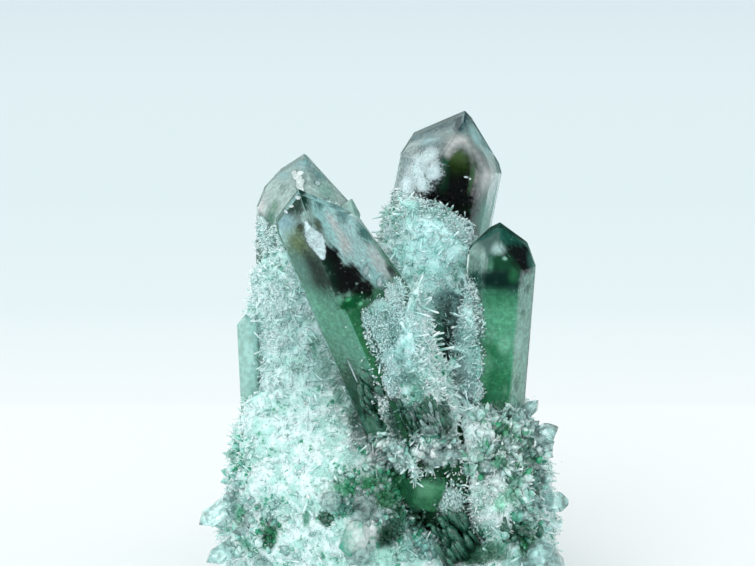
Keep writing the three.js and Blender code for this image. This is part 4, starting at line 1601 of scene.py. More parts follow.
def left_point() -> LargePoint:
    """Describes the upright point at the left."""
    crystal = Crystal(
        foot=(-16.3, 10.5, 10.0),
        towards=(0.6, -0.5, 81.8),
        length=81.8,
        side=9.9,
        turn=4.0,
        drop=(0.6, 0.6, -2.4, 1.8, 1.0, 1.8),
        spread=(0.0, 0.0, 0.0, -0.4, 0.0, 0.0),
    )
    haze = Inside(
        "left_haze",
        crystal.length,
        front=[(0.5, (0.2, 0.45, 0.34)), (0.7, (0.5, 0.75, 0.66)), (0.85, (0.72, 0.9, 0.87))],
        side=[(0.5, (0.2, 0.45, 0.34)), (0.7, (0.45, 0.7, 0.6)), (0.85, (0.66, 0.86, 0.82))],
        clouds=[
            Cloud((-0.9, 0.1, 79.1), (2.8, 3.4, 2.0), (0.301, 0.591, 0.615), 1.0, 0.3, 0.8),
            Cloud((-4.5, 1.1, 75.7), (2.4, 3.0, 1.0), (0.425, 0.73, 0.749), 0.9, 0.4, 0.8),
            Cloud((3.6, -0.3, 75.9), (2.8, 3.4, 1.2), (0.248, 0.512, 0.512), 0.9, 0.4, 0.8),
            Cloud((-4.4, -2.2, 73.7), (1.6, 2.2, 1.4), (0.224, 0.425, 0.399), 0.8, 0.9),
            Cloud((-6.0, -4.3, 70.6), (1.0, 2.4, 1.8), (0.122, 0.348, 0.229), 1.0, 0.3, 0.6),
            Cloud((-6.9, -4.6, 67.8), (1.0, 2.4, 1.8), (0.136, 0.373, 0.248), 1.0, 0.3, 0.6),
            Cloud((4.7, -2.9, 73.0), (2.6, 3.2, 1.8), (0.425, 0.826, 0.712), 0.8, 0.6, 0.7),
            Cloud((-8.6, -0.7, 70.1), (1.0, 3.8, 3.2), WHITE, 0.9, 0.3, 0.7),
        ],
        cover=0.75,
    )
    coated = [
        *alike(
            COAT,
            (1.0, 0.6, 0.3),
            ((-8.6, -1.6, 65.5), (1.6, 3.0, 2.4)),
            ((-7.5, -3.6, 62.9), (2.0, 2.6, 2.0)),
            ((-4.4, -8.7, 64.6), (2.8, 3.4, 2.0)),
        ),
        Cloud((4.9, -6.8, 70.3), (2.4, 3.0, 1.6), COAT, 0.9, 0.7, 0.3),
        *alike(
            COAT,
            (1.0, 0.6, 0.3),
            ((-5.7, -6.7, 51.6), (1.4, 3.4, 2.8)),
            ((-5.7, -6.8, 47.1), (1.4, 3.4, 2.8)),
            ((-5.3, -7.5, 42.5), (1.4, 3.4, 2.8)),
        ),
    ]
    patches = [
        *coated,
        *alike(
            (0.527, 0.608, 0.596),
            (1.0, 0.5, 0.4),
            ((-2.1, -1.5, 76.7), (0.6, 1.2, 0.5)),
            ((-1.0, -3.1, 76.9), (0.8, 1.4, 0.5)),
            ((-1.6, -3.3, 76.1), (1.1, 1.7, 0.6)),
            ((-1.0, -4.2, 75.4), (0.9, 1.5, 0.6)),
            ((-1.1, -4.8, 74.7), (0.8, 1.4, 0.7)),
            ((-0.9, -5.5, 73.8), (0.7, 1.4, 0.8)),
        ),
        Cloud((2.6, -3.5, 74.9), (0.8, 1.4, 0.6), FROST_DEEP, 0.7, 0.9, 0.3),
    ]
    frosts = [
        Frost(
            [(150, 58), (185, 62), (215, 64), (270, 69), (330, 68)],
            Needles(1100, (0.5, 1.5), seed=37),
            below=5.0,
            above=1.6,
        ),
        Fur(coated, fur_needles(1100, 44)),
    ]
    beside = [
        Crystal((-26.6, 6.0, 34.0), (-0.04, -0.02, 1.0), 25.0, 2.0),
        Crystal((-9.0, 9.0, 70.0), (0.26, 0.0, 1.0), 12.5, 2.5),
        Crystal((-8.0, 12.0, 66.0), (0.36, 0.1, 1.0), 12.0, 2.0),
    ]
    crust = Crust("left_point", [crystal, *beside], Needles(10000, seed=3), long_needles(260, 13))
    return LargePoint("left", crystal, [Core(haze)], crust, frosts, patches)


def build_side_prisms(beside: list[Crystal]) -> None:
    """Builds the thinner prisms that grew against the left point."""
    built = [crystal.build(f"beside_{i}", bevel=0.05) for i, crystal in enumerate(beside)]
    pale = TintedCrystal("side_quartz", (0.5, 0.8, 0.73), 0.6, varied=(0.8, 1.1))
    settle(join(built, "left_side_crystals"), pale.material(), Slot.CLEAR, "left_point")


def base_crystals() -> list[Crystal]:
    """Describes the single crystals that stand out of the base."""
    return [
        Crystal((-28.5, -9.0, 24.0), (-0.78, -0.25, -0.52), 10.5, 2.0),
        Crystal((-28.0, -10.0, 15.0), (-0.8, -0.3, -0.42), 9.0, 2.0),
        Crystal((-8.5, -20.0, 12.0), (0.42, -0.62, 0.66), 11.0, 2.7),
        Crystal((-11.0, -20.0, 26.0), (0.3, -0.9, 0.25), 8.0, 2.2),
        Crystal((-4.0, -19.0, 25.0), (0.2, -0.95, 0.1), 8.4, 2.4),
        Crystal((27.0, -12.0, 13.0), (0.62, -0.7, -0.12), 14.0, 4.2),
        Crystal((28.0, -4.0, 33.0), (0.83, -0.25, 0.5), 9.5, 2.2),
        Crystal((27.0, -3.0, 38.0), (0.7, -0.1, 0.7), 7.0, 1.5),
        Crystal((30.0, -6.0, 22.0), (0.93, -0.3, 0.1), 8.5, 2.0),
        Crystal((4.0, -19.0, 8.0), (0.15, -0.8, 0.58), 10.0, 2.6),
        Crystal((-21.0, -16.0, 12.0), (-0.4, -0.85, 0.2), 9.0, 2.2),
        Crystal((4.0, 20.0, 26.0), (0.2, 0.7, 0.68), 17.0, 3.6),
        Crystal((-12.0, 19.0, 20.0), (-0.3, 0.8, 0.5), 15.0, 3.0),
        Crystal((20.0, 15.0, 26.0), (0.6, 0.55, 0.58), 16.0, 3.4),
    ]


def drifts() -> list[Drift]:
    """Describes the heaps of larger crystals on the base and in the valley, and those in the gap lines."""
    stubs = Needles(0, (1.2, 3.4), (0.35, 1.15), 1.5, 0.5, sides=SIDES)
    leaned = Needles(0, (3.0, 7.5), (0.4, 1.0), 0.6, 0.4, sides=SIDES, towards=FORWARD)
    large = Needles(0, (2.5, 5.5), (0.8, 1.9), 1.8, 1.2, sides=SIDES)
    blocks = Needles(0, (1.4, 3.8), (0.4, 1.25), 3.0, 0.5, sides=SIDES)
    grains = Needles(0, (0.5, 1.5), (0.18, 0.42), 2.2, 0.2, sides=SIDES)
    long_fine = Needles(0, (0.8, 2.6), (0.14, 0.32), 2.6, 0.2)
    short_fine = Needles(0, (0.5, 1.7), (0.1, 0.25), 2.6, 0.2)
    base, front = "base", "leaning_point"
    pale, clear, green = Crystals.STUBS, Crystals.CLEAR, Crystals.GREEN
    deep, fine = Crystals.DEEP, Crystals.NEEDLES
    return [
        Drift("bridge_left", front, (0.1, -18.8, 35.3), (4.4, 6.0, 3.6), pale, stubs.of(100, 61)),
        Drift("bridge_left_clear", front, (0.1, -19.1, 35.8), (4.4, 6.0, 3.2), clear, stubs.of(45, 62)),
        Drift("bridge_right", front, (10.3, -21.0, 36.2), (4.8, 6.0, 2.4), pale, stubs.of(80, 63)),
        Drift("bridge_right_clear", front, (9.9, -21.2, 36.5), (4.8, 6.0, 2.2), clear, stubs.of(50, 64)),
        Drift(
            "sheaf", front, (8.9, -22.9, 41.9), (6.0, 7.0, 2.6), deep,
            Needles(60, (3.4, 6.4), (0.3, 0.75), 0.3, 0.4, 65, SIDES, FORWARD),
        ),
        Drift("sheaf_clear", front, (8.9, -22.8, 41.0), (5.6, 6.6, 2.6), clear, leaned.of(22, 66)),
        Drift(
            "low_shards", base, (14.8, -19.1, 16.6), (3.6, 6.0, 3.6), deep,
            Needles(34, (5.0, 8.5), (0.5, 1.2), 0.2, 0.5, 75, SIDES, (-0.75, -0.75, 1.3)),
        ),
        Drift("crack_shards", front, (-2.4, -22.1, 45.4), (2.0, 6.0, 4.4), deep, leaned.of(24, 87)),
        Drift(
            "gap_shards", "tall_point", (12.7, 1.2, 55.5), (2.4, 7.8, 6.8), clear,
            Needles(70, (1.6, 3.6), (0.12, 0.28), 2.4, 0.2, 67, sides=SIDES),
        ),
        Drift("front_bits", base, (-2.8, -25.1, 27.8), (6.8, 7.8, 4.4), pale, stubs.of(130, 68)),
        Drift(
            "front_green", base, (-1.9, -23.8, 28.0), (5.2, 6.2, 3.2), green,
            Needles(50, (1.0, 2.6), (0.25, 0.7), 3.0, 0.4, 69, SIDES),
        ),
        Drift("front_clear", base, (-3.2, -25.8, 27.6), (6.0, 7.0, 4.0), clear, stubs.of(50, 70)),
        Drift("front_dark", base, (3.0, -22.1, 21.7), (4.4, 6.0, 2.8), pale, stubs.of(60, 71)),
        Drift("middle", base, (7.9, -22.1, 17.5), (6.0, 7.0, 2.6), pale, stubs.of(90, 72)),
        Drift("bridge_large", front, (0.1, -18.8, 35.3), (4.4, 6.0, 2.4), clear, large.of(12, 92)),
        Drift("bridge_right_large", front, (9.9, -21.1, 35.9), (4.8, 6.0, 2.0), clear, large.of(13, 93)),
        Drift("front_large", base, (-4.0, -26.2, 27.3), (5.2, 6.2, 4.0), clear, large.of(14, 94)),
        Drift("right_large", base, (26.4, -12.0, 35.6), (6.4, 7.4, 6.0), clear, large.of(22, 95)),
        Drift("right_needles", base, (26.2, -16.2, 32.6), (8.0, 10.2, 9.2), fine, long_fine.of(500, 98)),
        Drift("left_low_large", base, (-26.8, -17.4, 21.2), (7.6, 8.6, 5.2), clear, large.of(12, 96)),
        Drift("middle_clear", base, (7.9, -22.1, 17.5), (5.6, 6.6, 2.4), clear, stubs.of(45, 73)),
        Drift("pale_cluster", front, (13.0, -19.6, 24.8), (2.6, 6.0, 3.4), pale, grains.of(170, 74)),
        Drift("left_band", "left_point", (-21.4, -0.4, 57.5), (1.6, 7.8, 6.8), fine, short_fine.of(500, 97)),
        Drift(
            "right_band", base, (16.6, -19.4, 32.8), (3.0, 9.8, 8.8), fine,
            Needles(1600, (0.5, 1.9), (0.1, 0.27), 2.6, 0.2, 88),
        ),
        Drift("right_band_low", base, (20.9, -21.6, 24.0), (5.2, 6.2, 3.2), fine, short_fine.of(900, 91)),
        Drift("right_blocks", base, (25.2, -16.0, 34.6), (7.6, 8.6, 7.6), pale, blocks.of(210, 76)),
        Drift("right_green", base, (25.6, -16.0, 34.0), (6.4, 7.4, 6.0), green, blocks.of(30, 77)),
        Drift("right_deep", base, (25.6, -16.0, 34.0), (6.8, 7.8, 6.4), deep, blocks.of(36, 89)),
        Drift("right_clear", base, (26.3, -13.7, 34.4), (7.2, 8.2, 7.2), clear, blocks.of(90, 78)),
        Drift("right_low", base, (28.3, -15.7, 21.1), (5.2, 6.6, 5.6), pale, blocks.of(110, 79)),
        Drift("right_low_deep", base, (26.8, -20.2, 20.0), (4.0, 6.0, 4.0), deep, blocks.of(30, 90)),
        Drift("right_low_clear", base, (28.7, -15.6, 20.7), (5.2, 6.6, 5.6), clear, stubs.of(50, 80)),
        Drift("left_edge", base, (-29.8, -11.4, 29.7), (2.8, 6.6, 5.6), pale, stubs.of(70, 81)),
        Drift("body_edge", base, (5.8, -17.7, 23.9), (4.8, 6.0, 1.2), deep, stubs.of(30, 105)),
        Drift("body_side", base, (1.6, -20.0, 28.4), (1.6, 6.0, 3.2), green, stubs.of(26, 106)),
        Drift(
            "low_white", base, (19.9, -21.1, 27.5), (3.0, 6.0, 4.4), fine,
            Needles(420, (0.6, 1.8), (0.12, 0.28), 2.6, 0.2, 107),
        ),
        Drift(
            "right_white", base, (31.0, -8.6, 34.9), (3.0, 6.0, 2.4), clear,
            Needles(14, (2.0, 4.0), (0.8, 1.5), 2.0, 0.8, 112, SIDES),
        ),
        Drift(
            "long_needles", base, (-16.7, -9.8, 41.9), (9.0, 10.0, 4.8), fine,
            Needles(26, (4.0, 8.0), (0.12, 0.2), 5.0, 0.1, 113),
        ),
        Drift(
            "long_left", "left_point", (-19.0, -1.8, 50.0), (6.0, 7.0, 6.0), fine,
            Needles(16, (3.0, 6.0), (0.12, 0.2), 5.0, 0.1, 114),
        ),
        Drift(
            "valley_clear", base, (-4.4, -25.7, 27.5), (6.0, 7.0, 4.0), clear,
            Needles(16, (1.6, 3.2), (0.4, 0.9), 2.6, 0.6, 116, SIDES),
        ),
        Drift(
            "right_bold", base, (27.1, -12.9, 33.8), (5.6, 7.0, 6.0), deep,
            Needles(14, (1.8, 3.6), (0.5, 1.0), 2.6, 0.6, 117, SIDES),
        ),
        Drift(
            "left_spot", base, (-11.5, -25.8, 23.8), (1.0, 6.0, 1.2), deep,
            Needles(16, (1.0, 2.2), (0.35, 0.8), 2.6, 0.4, 108, SIDES),
        ),
        Drift(
            "left_blades", base, (-22.0, -22.9, 19.9), (1.2, 6.0, 2.0), deep,
            Needles(14, (1.4, 3.0), (0.25, 0.6), 2.0, 0.4, 109, SIDES),
        ),
        Drift("left_low", base, (-27.4, -17.8, 18.8), (6.8, 7.8, 4.8), pale, stubs.of(70, 82)),
        Drift(
            "left_low_green", base, (-22.2, -22.9, 20.0), (1.6, 6.0, 2.2), green,
            Needles(22, (1.0, 2.4), (0.25, 0.7), 3.0, 0.4, 83, SIDES),
        ),
        Drift("left_low_clear", base, (-24.7, -19.5, 20.8), (8.8, 9.8, 5.2), clear, stubs.of(24, 84)),
        Drift("back_seam", base, (4.0, 22.0, 42.0), (13.0, 6.0, 4.0), fine, long_fine.of(420, 101)),
        Drift("back_seam_left", base, (-20.0, 22.0, 39.5), (9.0, 6.0, 3.5), fine, long_fine.of(260, 102)),
        Drift("left_seam", base, (-28.0, 11.0, 36.5), (4.0, 11.0, 3.5), fine, long_fine.of(260, 103)),
        Drift("back_gap", base, (-6.0, 20.0, 50.0), (3.0, 6.0, 12.0), fine, long_fine.of(200, 104)),
        Drift("back_blocks", base, (0.0, 22.0, 20.0), (28.0, 9.0, 16.0), pale, stubs.of(380, 85)),
        Drift("back_clear", base, (0.0, 22.0, 20.0), (26.0, 9.0, 14.0), clear, stubs.of(150, 86)),
    ]


def seams_and_painted_shade() -> list[Cloud]:
    """Describes where the crust is green or dark, partly painted shade, in gaps, along the large points and
    low on the base, and where pale painted light lifts it.
    """
    return [
        # Dark painted shade where the crust fills the gap between the tall and right points
        Cloud((13.0, 1.3, 61.7), (2.8, 3.8, 2.4), (0.003, 0.014, 0.007)),
        Cloud((12.4, 1.2, 56.6), (2.6, 5.4, 4.4), (0.003, 0.011, 0.006)),
        Cloud((12.3, 0.7, 50.5), (2.2, 5.0, 4.0), (0.003, 0.015, 0.008)),
        Cloud((10.8, 0.7, 52.5), (1.2, 7.0, 6.0), (0.024, 0.156, 0.086), 0.8, 0.9),
        Cloud((0.2, -25.7, 63.6), (1.0, 2.2, 1.2), (0.017, 0.136, 0.06), 0.9),
        Cloud((1.6, -25.1, 59.8), (1.0, 3.4, 2.4), (0.021, 0.17, 0.091), 0.9),
        Cloud((2.9, -25.9, 55.5), (1.2, 3.4, 2.4), (0.014, 0.096, 0.053), 0.9),
        Cloud((4.4, -24.8, 51.3), (2.0, 3.0, 1.8), (0.014, 0.096, 0.053), 0.9),
        Cloud((6.0, -24.1, 47.8), (1.8, 3.8, 2.8), (0.073, 0.328, 0.233), 0.8),
        Cloud((-16.3, -0.9, 58.0), (2.4, 3.4, 1.2), (0.156, 0.407, 0.308), 0.8, 1.0),
        Cloud((-13.7, -0.9, 53.9), (1.8, 2.8, 1.2), (0.124, 0.35, 0.259), 0.8, 1.0),
        Cloud((-11.7, -1.3, 48.6), (1.2, 3.4, 2.4), (0.107, 0.328, 0.242), 0.8, 1.0),
        Cloud((-9.2, -7.3, 44.6), (1.0, 3.4, 2.4), (0.082, 0.269, 0.192), 0.8, 1.0),
        Cloud((-25.7, 4.6, 49.2), (1.2, 2.2, 1.2), (0.298, 0.624, 0.508), 0.8, 1.0),
        Cloud((-17.9, -2.2, 49.2), (2.6, 3.6, 1.6), (0.156, 0.407, 0.308), 0.8, 1.0),
        Cloud((-6.4, -13.4, 41.4), (1.2, 3.8, 2.8), (0.028, 0.143, 0.091), 0.8, 1.0),
        Cloud((2.9, -23.7, 43.2), (3.0, 4.6, 3.6), (0.011, 0.082, 0.043)),
        Cloud((8.3, -23.1, 42.9), (4.4, 5.4, 3.0), (0.008, 0.068, 0.036)),
        Cloud((11.8, -21.6, 41.6), (2.6, 4.2, 3.2), (0.008, 0.053, 0.028)),
        # Large pale patches: painted light that brightens the crusts where they lie in shade
        Cloud((1.9, -25.1, 62.3), (5.2, 13.0, 12.0), (0.517, 0.93, 0.93), 0.55, 0.9, 0.9),
        Cloud((9.1, 0.8, 71.9), (9.2, 10.2, 8.8), (0.503, 0.93, 0.93), 0.5, 0.9, 0.9),
        Cloud((-20.0, -0.7, 55.9), (10.0, 17.0, 16.0), (0.67, 0.93, 0.93), 0.55, 0.9, 0.9),
        Cloud((17.0, -7.6, 52.2), (2.8, 12.0, 11.0), (0.52, 0.93, 0.912), 0.5, 0.9, 0.9),
        Cloud((-3.6, -24.1, 28.3), (6.8, 7.8, 4.0), (0.017, 0.156, 0.068), 0.7, 0.8, 0.6),
        Cloud((22.0, -16.7, 35.1), (7.2, 11.0, 10.0), (0.857, 0.93, 0.93), 0.45, 1.0, 0.9),
        Cloud((3.7, -23.2, 38.6), (1.2, 2.2, 1.2), (0.017, 0.107, 0.06), 0.9),
        # Pale patches on the small crystals low in front: painted light, as they lie in shade
        Cloud((-0.1, -18.5, 35.0), (3.4, 4.4, 2.6), WHITE, 0.85, 0.9, 0.7),
        Cloud((9.6, -21.2, 35.7), (3.6, 4.6, 1.8), (0.906, 0.93, 0.93), 0.7, 0.9, 0.7),
        Cloud((7.8, -22.5, 34.0), (1.8, 2.8, 1.2), (0.014, 0.073, 0.036), 0.9),
        Cloud((11.3, -20.8, 36.4), (1.0, 2.0, 1.0), (0.043, 0.136, 0.124), 0.8),
        Cloud((2.2, -18.8, 29.3), (2.6, 5.8, 4.8), (0.024, 0.156, 0.073), 0.95),
        Cloud((-6.7, -24.3, 29.5), (2.4, 3.4, 1.6), (0.021, 0.233, 0.102), 0.9),
        Cloud((-2.4, -22.8, 29.5), (2.4, 3.4, 1.6), (0.011, 0.192, 0.056), 0.9),
        Cloud((0.3, -23.2, 26.8), (2.0, 3.4, 2.4), (0.008, 0.124, 0.039), 0.9),
        Cloud((-7.6, -26.0, 26.4), (2.0, 3.0, 1.6), (0.053, 0.192, 0.156), 0.8),
        Cloud((-3.8, -27.2, 25.6), (2.4, 3.4, 1.6), (0.036, 0.124, 0.096), 0.8),
        Cloud((2.6, -21.8, 23.8), (1.8, 2.8, 1.8), (0.011, 0.102, 0.043), 0.9),
        Cloud((1.4, -24.3, 21.2), (3.8, 4.8, 2.6), (0.009, 0.06, 0.031), 0.95),
        Cloud((7.0, -17.8, 22.1), (3.8, 4.8, 3.0), (0.008, 0.053, 0.026), 0.95),
        Cloud((-0.1, -26.4, 19.8), (2.0, 3.6, 2.6), (0.006, 0.036, 0.019)),
        Cloud((-4.7, -27.5, 21.3), (2.8, 4.4, 3.4), (0.906, 0.93, 0.93), 0.85, 0.6),
        Cloud((7.9, -22.3, 17.3), (5.0, 6.0, 2.0), (0.156, 0.395, 0.361), 0.7),
        Cloud((14.2, -18.8, 18.6), (4.0, 6.6, 5.6), (0.005, 0.031, 0.015)),
        Cloud((17.1, -20.6, 15.6), (3.0, 4.4, 3.4), (0.007, 0.046, 0.021)),
        Cloud((10.8, -20.1, 23.2), (2.2, 3.6, 2.6), (0.007, 0.043, 0.021)),
        Cloud((13.0, -19.6, 24.8), (2.4, 4.4, 3.4), (0.684, 0.93, 0.906)),
        Cloud((0.1, -27.0, 16.2), (5.0, 6.0, 1.8), (0.35, 0.639, 0.564), 0.9, 0.8),
        Cloud((-22.2, -22.9, 20.0), (1.4, 3.0, 2.0), (0.009, 0.156, 0.06)),
        Cloud((-11.5, -25.8, 23.8), (1.4, 2.4, 1.4), (0.004, 0.064, 0.028)),
        Cloud((-15.2, -24.0, 23.3), (0.8, 2.6, 1.6), (0.06, 0.25, 0.17), 0.9),
        Cloud((-28.4, -13.9, 21.2), (1.4, 2.8, 1.8), (0.043, 0.298, 0.17), 0.9),
        Cloud((-27.4, -17.6, 16.2), (1.6, 2.6, 1.4), (0.043, 0.25, 0.156), 0.8),
        Cloud((-30.5, -6.7, 31.6), (1.0, 2.0, 1.0), (0.06, 0.298, 0.208), 0.7),
        Cloud((19.8, -17.0, 35.8), (1.6, 2.6, 1.6), (0.208, 0.502, 0.407), 0.7),
        Cloud((22.3, -21.4, 34.0), (1.8, 2.8, 1.6), (0.053, 0.278, 0.156), 0.9),
        Cloud((23.4, -12.5, 38.1), (1.8, 2.8, 1.4), (0.036, 0.278, 0.102), 0.9),
        Cloud((25.3, -13.0, 36.6), (2.0, 3.0, 1.6), (0.107, 0.35, 0.25), 0.8),
        Cloud((27.6, -12.5, 33.7), (2.0, 3.0, 1.8), (0.034, 0.136, 0.107), 0.9),
        Cloud((28.2, -14.7, 30.6), (2.2, 3.2, 2.0), (0.017, 0.185, 0.082), 0.9),
        Cloud((25.6, -18.7, 30.0), (1.6, 2.6, 1.4), (0.082, 0.298, 0.208), 0.8),
        Cloud((24.6, -8.7, 40.3), (1.6, 2.6, 1.2), (0.25, 0.572, 0.469), 0.7),
        Cloud((29.5, -13.7, 26.3), (1.8, 2.8, 1.8), (0.053, 0.192, 0.156), 0.8),
        Cloud((30.7, -13.5, 28.7), (1.6, 3.0, 2.0), (0.06, 0.17, 0.156), 0.8),
        Cloud((24.8, -20.1, 27.0), (1.8, 2.8, 1.8), (0.082, 0.407, 0.25), 0.7),
        Cloud((22.4, -21.4, 25.4), (1.2, 2.4, 1.4), (0.208, 0.687, 0.469), 0.7),
        Cloud((26.4, -20.2, 22.6), (1.8, 2.8, 1.6), (0.107, 0.35, 0.269), 0.7),
        Cloud((26.4, -20.5, 19.0), (2.6, 3.6, 2.0), (0.005, 0.031, 0.015)),
        Cloud((28.5, -19.6, 16.1), (1.8, 4.0, 3.0), (0.008, 0.192, 0.036), 0.95),
        Cloud((21.5, -21.6, 15.9), (3.0, 4.0, 2.0), (0.021, 0.118, 0.068), 0.9),
        Cloud((16.6, -19.6, 31.9), (1.0, 2.2, 1.2), (0.25, 0.572, 0.469), 0.6),
    ]


def finishes() -> dict[Crystals, bpy.types.Material]:
    """Makes the finishes of the crusts' crystals."""
    # Each deep colour below is painted shade at the crystals' feet, where they shade one another.
    made = {
        Crystals.SKIN: Druse(
            "druse_skin",
            white=(0.65, 0.78, 0.78),
            teal=(0.36, 0.6, 0.55),
            green=(0.05, 0.28, 0.18),
            seams_and_painted_shade=seams_and_painted_shade(),
        ),
        Crystals.NEEDLES: Druse("druse_needles", seams_and_painted_shade=seams_and_painted_shade(), deep=(0.36, 0.72, 0.64)),
        Crystals.STUBS: Druse(
            "druse_stubs",
            white=(0.74, 0.93, 0.92),
            teal=(0.32, 0.68, 0.6),
            green=(0.05, 0.34, 0.2),
            shade=(0.85, 1.3),
            roughness=0.12,
            glow=0.3,
            milky=0.3,
            seams_and_painted_shade=seams_and_painted_shade(),
            deep=(0.07, 0.36, 0.26),
            pits=0.53,
        ),
        Crystals.CLEAR: TintedCrystal("small_quartz", (0.64, 0.92, 0.89), 0.8),
        Crystals.GREEN: TintedCrystal("green_quartz", (0.04, 0.4, 0.2), 0.45),
        Crystals.BODY: Druse(
            "green_body",
            white=(0.03, 0.2, 0.078),
            teal=(0.01, 0.09, 0.04),
            green=(0.005, 0.04, 0.018),
            shade=(0.85, 1.15),
            roughness=0.08,
            glow=0.2,
            milky=0.3,
            seams_and_painted_shade=[Cloud((8.0, -22.0, 28.7), (1.8, 3.0, 1.8), (0.12, 0.38, 0.21), 0.8, 0.7, 0.6)],
        ),
        Crystals.DEEP: TintedCrystal("deep_quartz", (0.04, 0.18, 0.12), 0.45, deep=(0.008, 0.05, 0.03)),
    }
    return {kind: finish.material() for kind, finish in made.items()}


def build_base(dressing: Dressing) -> None:
    """Builds the base: its crust, its single crystals and the heaps on it."""
    singles = base_crystals()
    front = [
        Crystal((-3.8, -24.5, 16.5), (-0.1, -0.75, 0.65), 6.0, 2.4),
        Crystal((29.5, -16.5, 13.0), (0.5, -0.62, 0.5), 8.0, 3.4),
        Crystal((31.0, -5.5, 32.0), (0.75, -0.45, 0.6), 5.5, 1.7),
    ]
    built = [crystal.build(f"single_{i}", bevel=0.05) for i, crystal in enumerate([*singles, *front])]
    settle(join(built, "base_single_crystals"), dressing.finishes[Crystals.CLEAR], Slot.DRUSE, "base")
    body = Crystal((11.0, -15.2, 27.6), (-1.0, -0.16, 0.3), 11.5, 5.5, turn=12.0)
    settle(body.build("green_body", bevel=0.3), dressing.finishes[Crystals.BODY], Slot.CLEAR, "leaning_point")
    block = Crystal((-6.0, -25.2, 18.6), (0.3, -0.6, 0.74), 8.4, 2.6, turn=20.0)
    settle(block.build("white_crystal", bevel=0.08), dressing.finishes[Crystals.STUBS], Slot.DRUSE, "base")
    crust = Crust("base", singles, Needles(16000, seed=6), long_needles(420, 16), closed=True, voxel=0.66)
    dressing.coat(crust, "base")
    for drift in drifts():
        dressing.heap(drift)


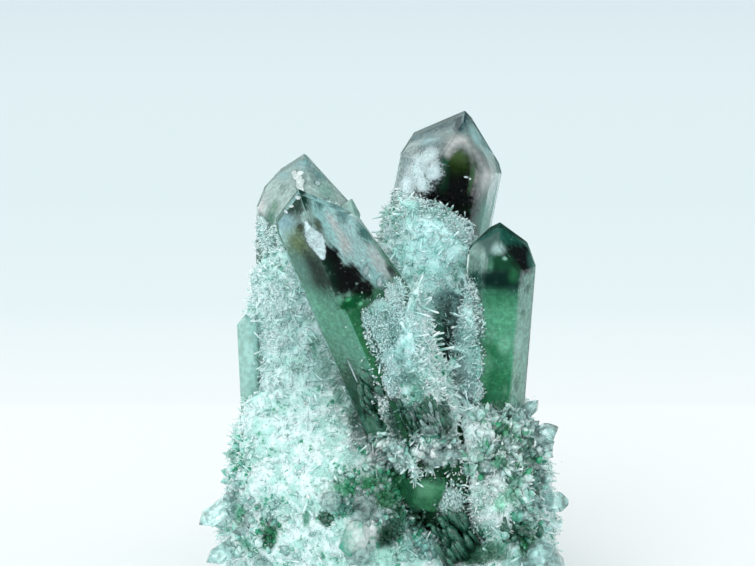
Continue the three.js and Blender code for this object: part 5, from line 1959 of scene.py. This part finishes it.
@dataclass
class Studio:
    """The floor, the light and the camera.

    heights gives the sky's colour from below to above. flag is the way to a dark card in the sky, whose rim
    lies between the two cosines of flag_rim. tones gives how bright the floor looks at some distances from
    its middle, in metres, brighter near the middle as painted light against the cluster's shadow, and
    sky_share how much of the sky's light reaches it.
    """

    target: Triple = (-1.377, -1.288, 65.6)
    distance: float = 450.0
    elevation: float = 10.0
    lens: float = 107.3
    floor_size: float = 12000.0
    sky: float = 1.74
    sky_share: float = 0.619
    sun: float = 0.9
    sun_tilt: float = 50.0
    sun_turn: float = -28.0
    sun_width: float = 50.0
    flag: Triple = (0.7, 0.6, 0.38)
    flag_rim: tuple[float, float] = (0.72, 0.9)
    flag_shade: Triple = (0.04, 0.06, 0.06)
    heights: tuple[Triple, Triple, Triple] = ((0.8, 0.88, 0.92), (1.0, 1.0, 1.0), (0.53, 0.55, 0.55))
    tones: tuple[Stop, ...] = (
        # The brightest stops, near the middle, are painted light that offsets the cluster's shadow on the
        # floor
        (0.0, (0.99, 1.03, 1.04)),
        (0.1, (0.95, 0.99, 1.0)),
        (0.171, (0.93, 0.973, 0.98)),
        (0.175, (0.897, 0.938, 0.965)),
        (0.249, (0.84, 0.913, 0.93)),
        (0.336, (0.783, 0.871, 0.896)),
        (0.592, (0.737, 0.847, 0.871)),
        (1.09, (0.73, 0.838, 0.863)),
        (2.22, (0.694, 0.791, 0.838)),
    )
    tones_end: float = 2.4

    def build_camera(self) -> None:
        """Places the camera where the photograph was taken from."""
        data = bpy.data.cameras.new("camera")
        data.lens = self.lens
        data.sensor_width = 36.0
        data.clip_start, data.clip_end = 0.01, 50.0
        camera = bpy.data.objects.new("camera", data)
        bpy.context.scene.collection.objects.link(camera)
        tilt = math.radians(self.elevation)
        away = Vector((0.0, -math.cos(tilt), math.sin(tilt))) * self.distance
        camera.location = (Vector(self.target) + away) * MM
        camera.rotation_euler = (math.radians(90.0 - self.elevation), 0.0, 0.0)
        bpy.context.scene.camera = camera

    def build_floor(self) -> None:
        """Lays a pale floor that fades a little with distance and is brighter near its middle, as painted
        light against the cluster's shadow.
        """
        deselect()
        bpy.ops.mesh.primitive_plane_add(size=self.floor_size * MM)
        floor = bpy.context.object
        floor.name = "floor"
        kit = MaterialKit("pale_floor")
        place = kit.add("ShaderNodeTexCoord").outputs["Object"]
        absolute = kit.add("ShaderNodeVectorMath", {0: place}, operation="ABSOLUTE").outputs[0]
        axes = kit.add("ShaderNodeSeparateXYZ", {0: absolute})
        away = kit.maths("MAXIMUM", axes.outputs["X"], axes.outputs["Y"])
        steep = math.cos(math.radians(self.sun_tilt)) * math.cos(math.radians(self.sun_turn))
        ease = 1.0 / (self.sky_share * self.sky + self.sun * steep / math.pi)
        faded = [(at / self.tones_end, tuple(part * ease for part in shade)) for at, shade in self.tones]
        colour = kit.ramp(kit.maths("DIVIDE", away, self.tones_end), faded)
        dull = {"Base Color": colour, "Roughness": 0.9, "Specular IOR Level": 0.0}
        floor.data.materials.append(kit.finish(dull))

    def build_light(self) -> None:
        """Lights the scene with a pale sky, one soft sun and a dark flag behind at the right."""
        world = bpy.data.worlds.new("studio")
        bpy.context.scene.world = world
        world.use_nodes = True
        nodes, links = world.node_tree.nodes, world.node_tree.links
        background = nodes["Background"]
        place = nodes.new("ShaderNodeTexCoord")
        axes = nodes.new("ShaderNodeSeparateXYZ")
        links.new(place.outputs["Generated"], axes.inputs[0])
        ramp = nodes.new("ShaderNodeValToRGB")
        band = ramp.color_ramp
        band.elements.new(0.3)
        for element, tone in zip(band.elements, self.heights):
            element.color = (*tone, 1.0)
        links.new(axes.outputs["Z"], ramp.inputs["Fac"])
        facing = nodes.new("ShaderNodeVectorMath")
        facing.operation = "DOT_PRODUCT"
        facing.inputs[1].default_value = self.flag
        links.new(place.outputs["Generated"], facing.inputs[0])
        shade = nodes.new("ShaderNodeMapRange")
        shade.interpolation_type = "SMOOTHSTEP"
        shade.inputs["From Min"].default_value, shade.inputs["From Max"].default_value = self.flag_rim
        links.new(facing.outputs["Value"], shade.inputs["Value"])
        room = nodes.new("ShaderNodeMix")
        room.data_type = "RGBA"
        room.inputs[7].default_value = (*self.flag_shade, 1.0)
        links.new(shade.outputs["Result"], room.inputs[0])
        links.new(ramp.outputs["Color"], room.inputs[6])
        links.new(room.outputs[2], background.inputs["Color"])
        background.inputs["Strength"].default_value = self.sky
        light = bpy.data.lights.new("soft_sun", "SUN")
        light.energy = self.sun
        light.angle = math.radians(self.sun_width)
        sun = bpy.data.objects.new("soft_sun", light)
        bpy.context.scene.collection.objects.link(sun)
        sun.rotation_euler = (math.radians(self.sun_tilt), math.radians(self.sun_turn), 0.0)
        bpy.context.scene.view_settings.view_transform = "Standard"


def main() -> None:
    """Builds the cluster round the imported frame."""
    logging.basicConfig(level=logging.INFO, format="%(message)s")
    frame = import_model()
    studio = Studio()
    studio.build_camera()
    studio.build_floor()
    studio.build_light()
    points = [leaning_point(), right_point(), tall_point(), left_point()]
    trees = {name: solid_tree(Patch.of(node)) for name, node in frame["nodes"].items()}
    dressing = Dressing(frame["nodes"], trees, finishes())
    for point in points:
        point.build_crystal()
        point.build_coat(dressing)
    # The leaning point's bare front and left faces offer places to the heaps as well
    offered = Frost([(200, 30), (340, 30)], Needles(3000, seed=38), below=36.0, above=36.0)
    dressing.pool.append(offered.places(points[0].crystal))
    build_side_prisms(points[-1].crust.bare[1:])
    build_base(dressing)


if __name__ == "__main__":
    main()
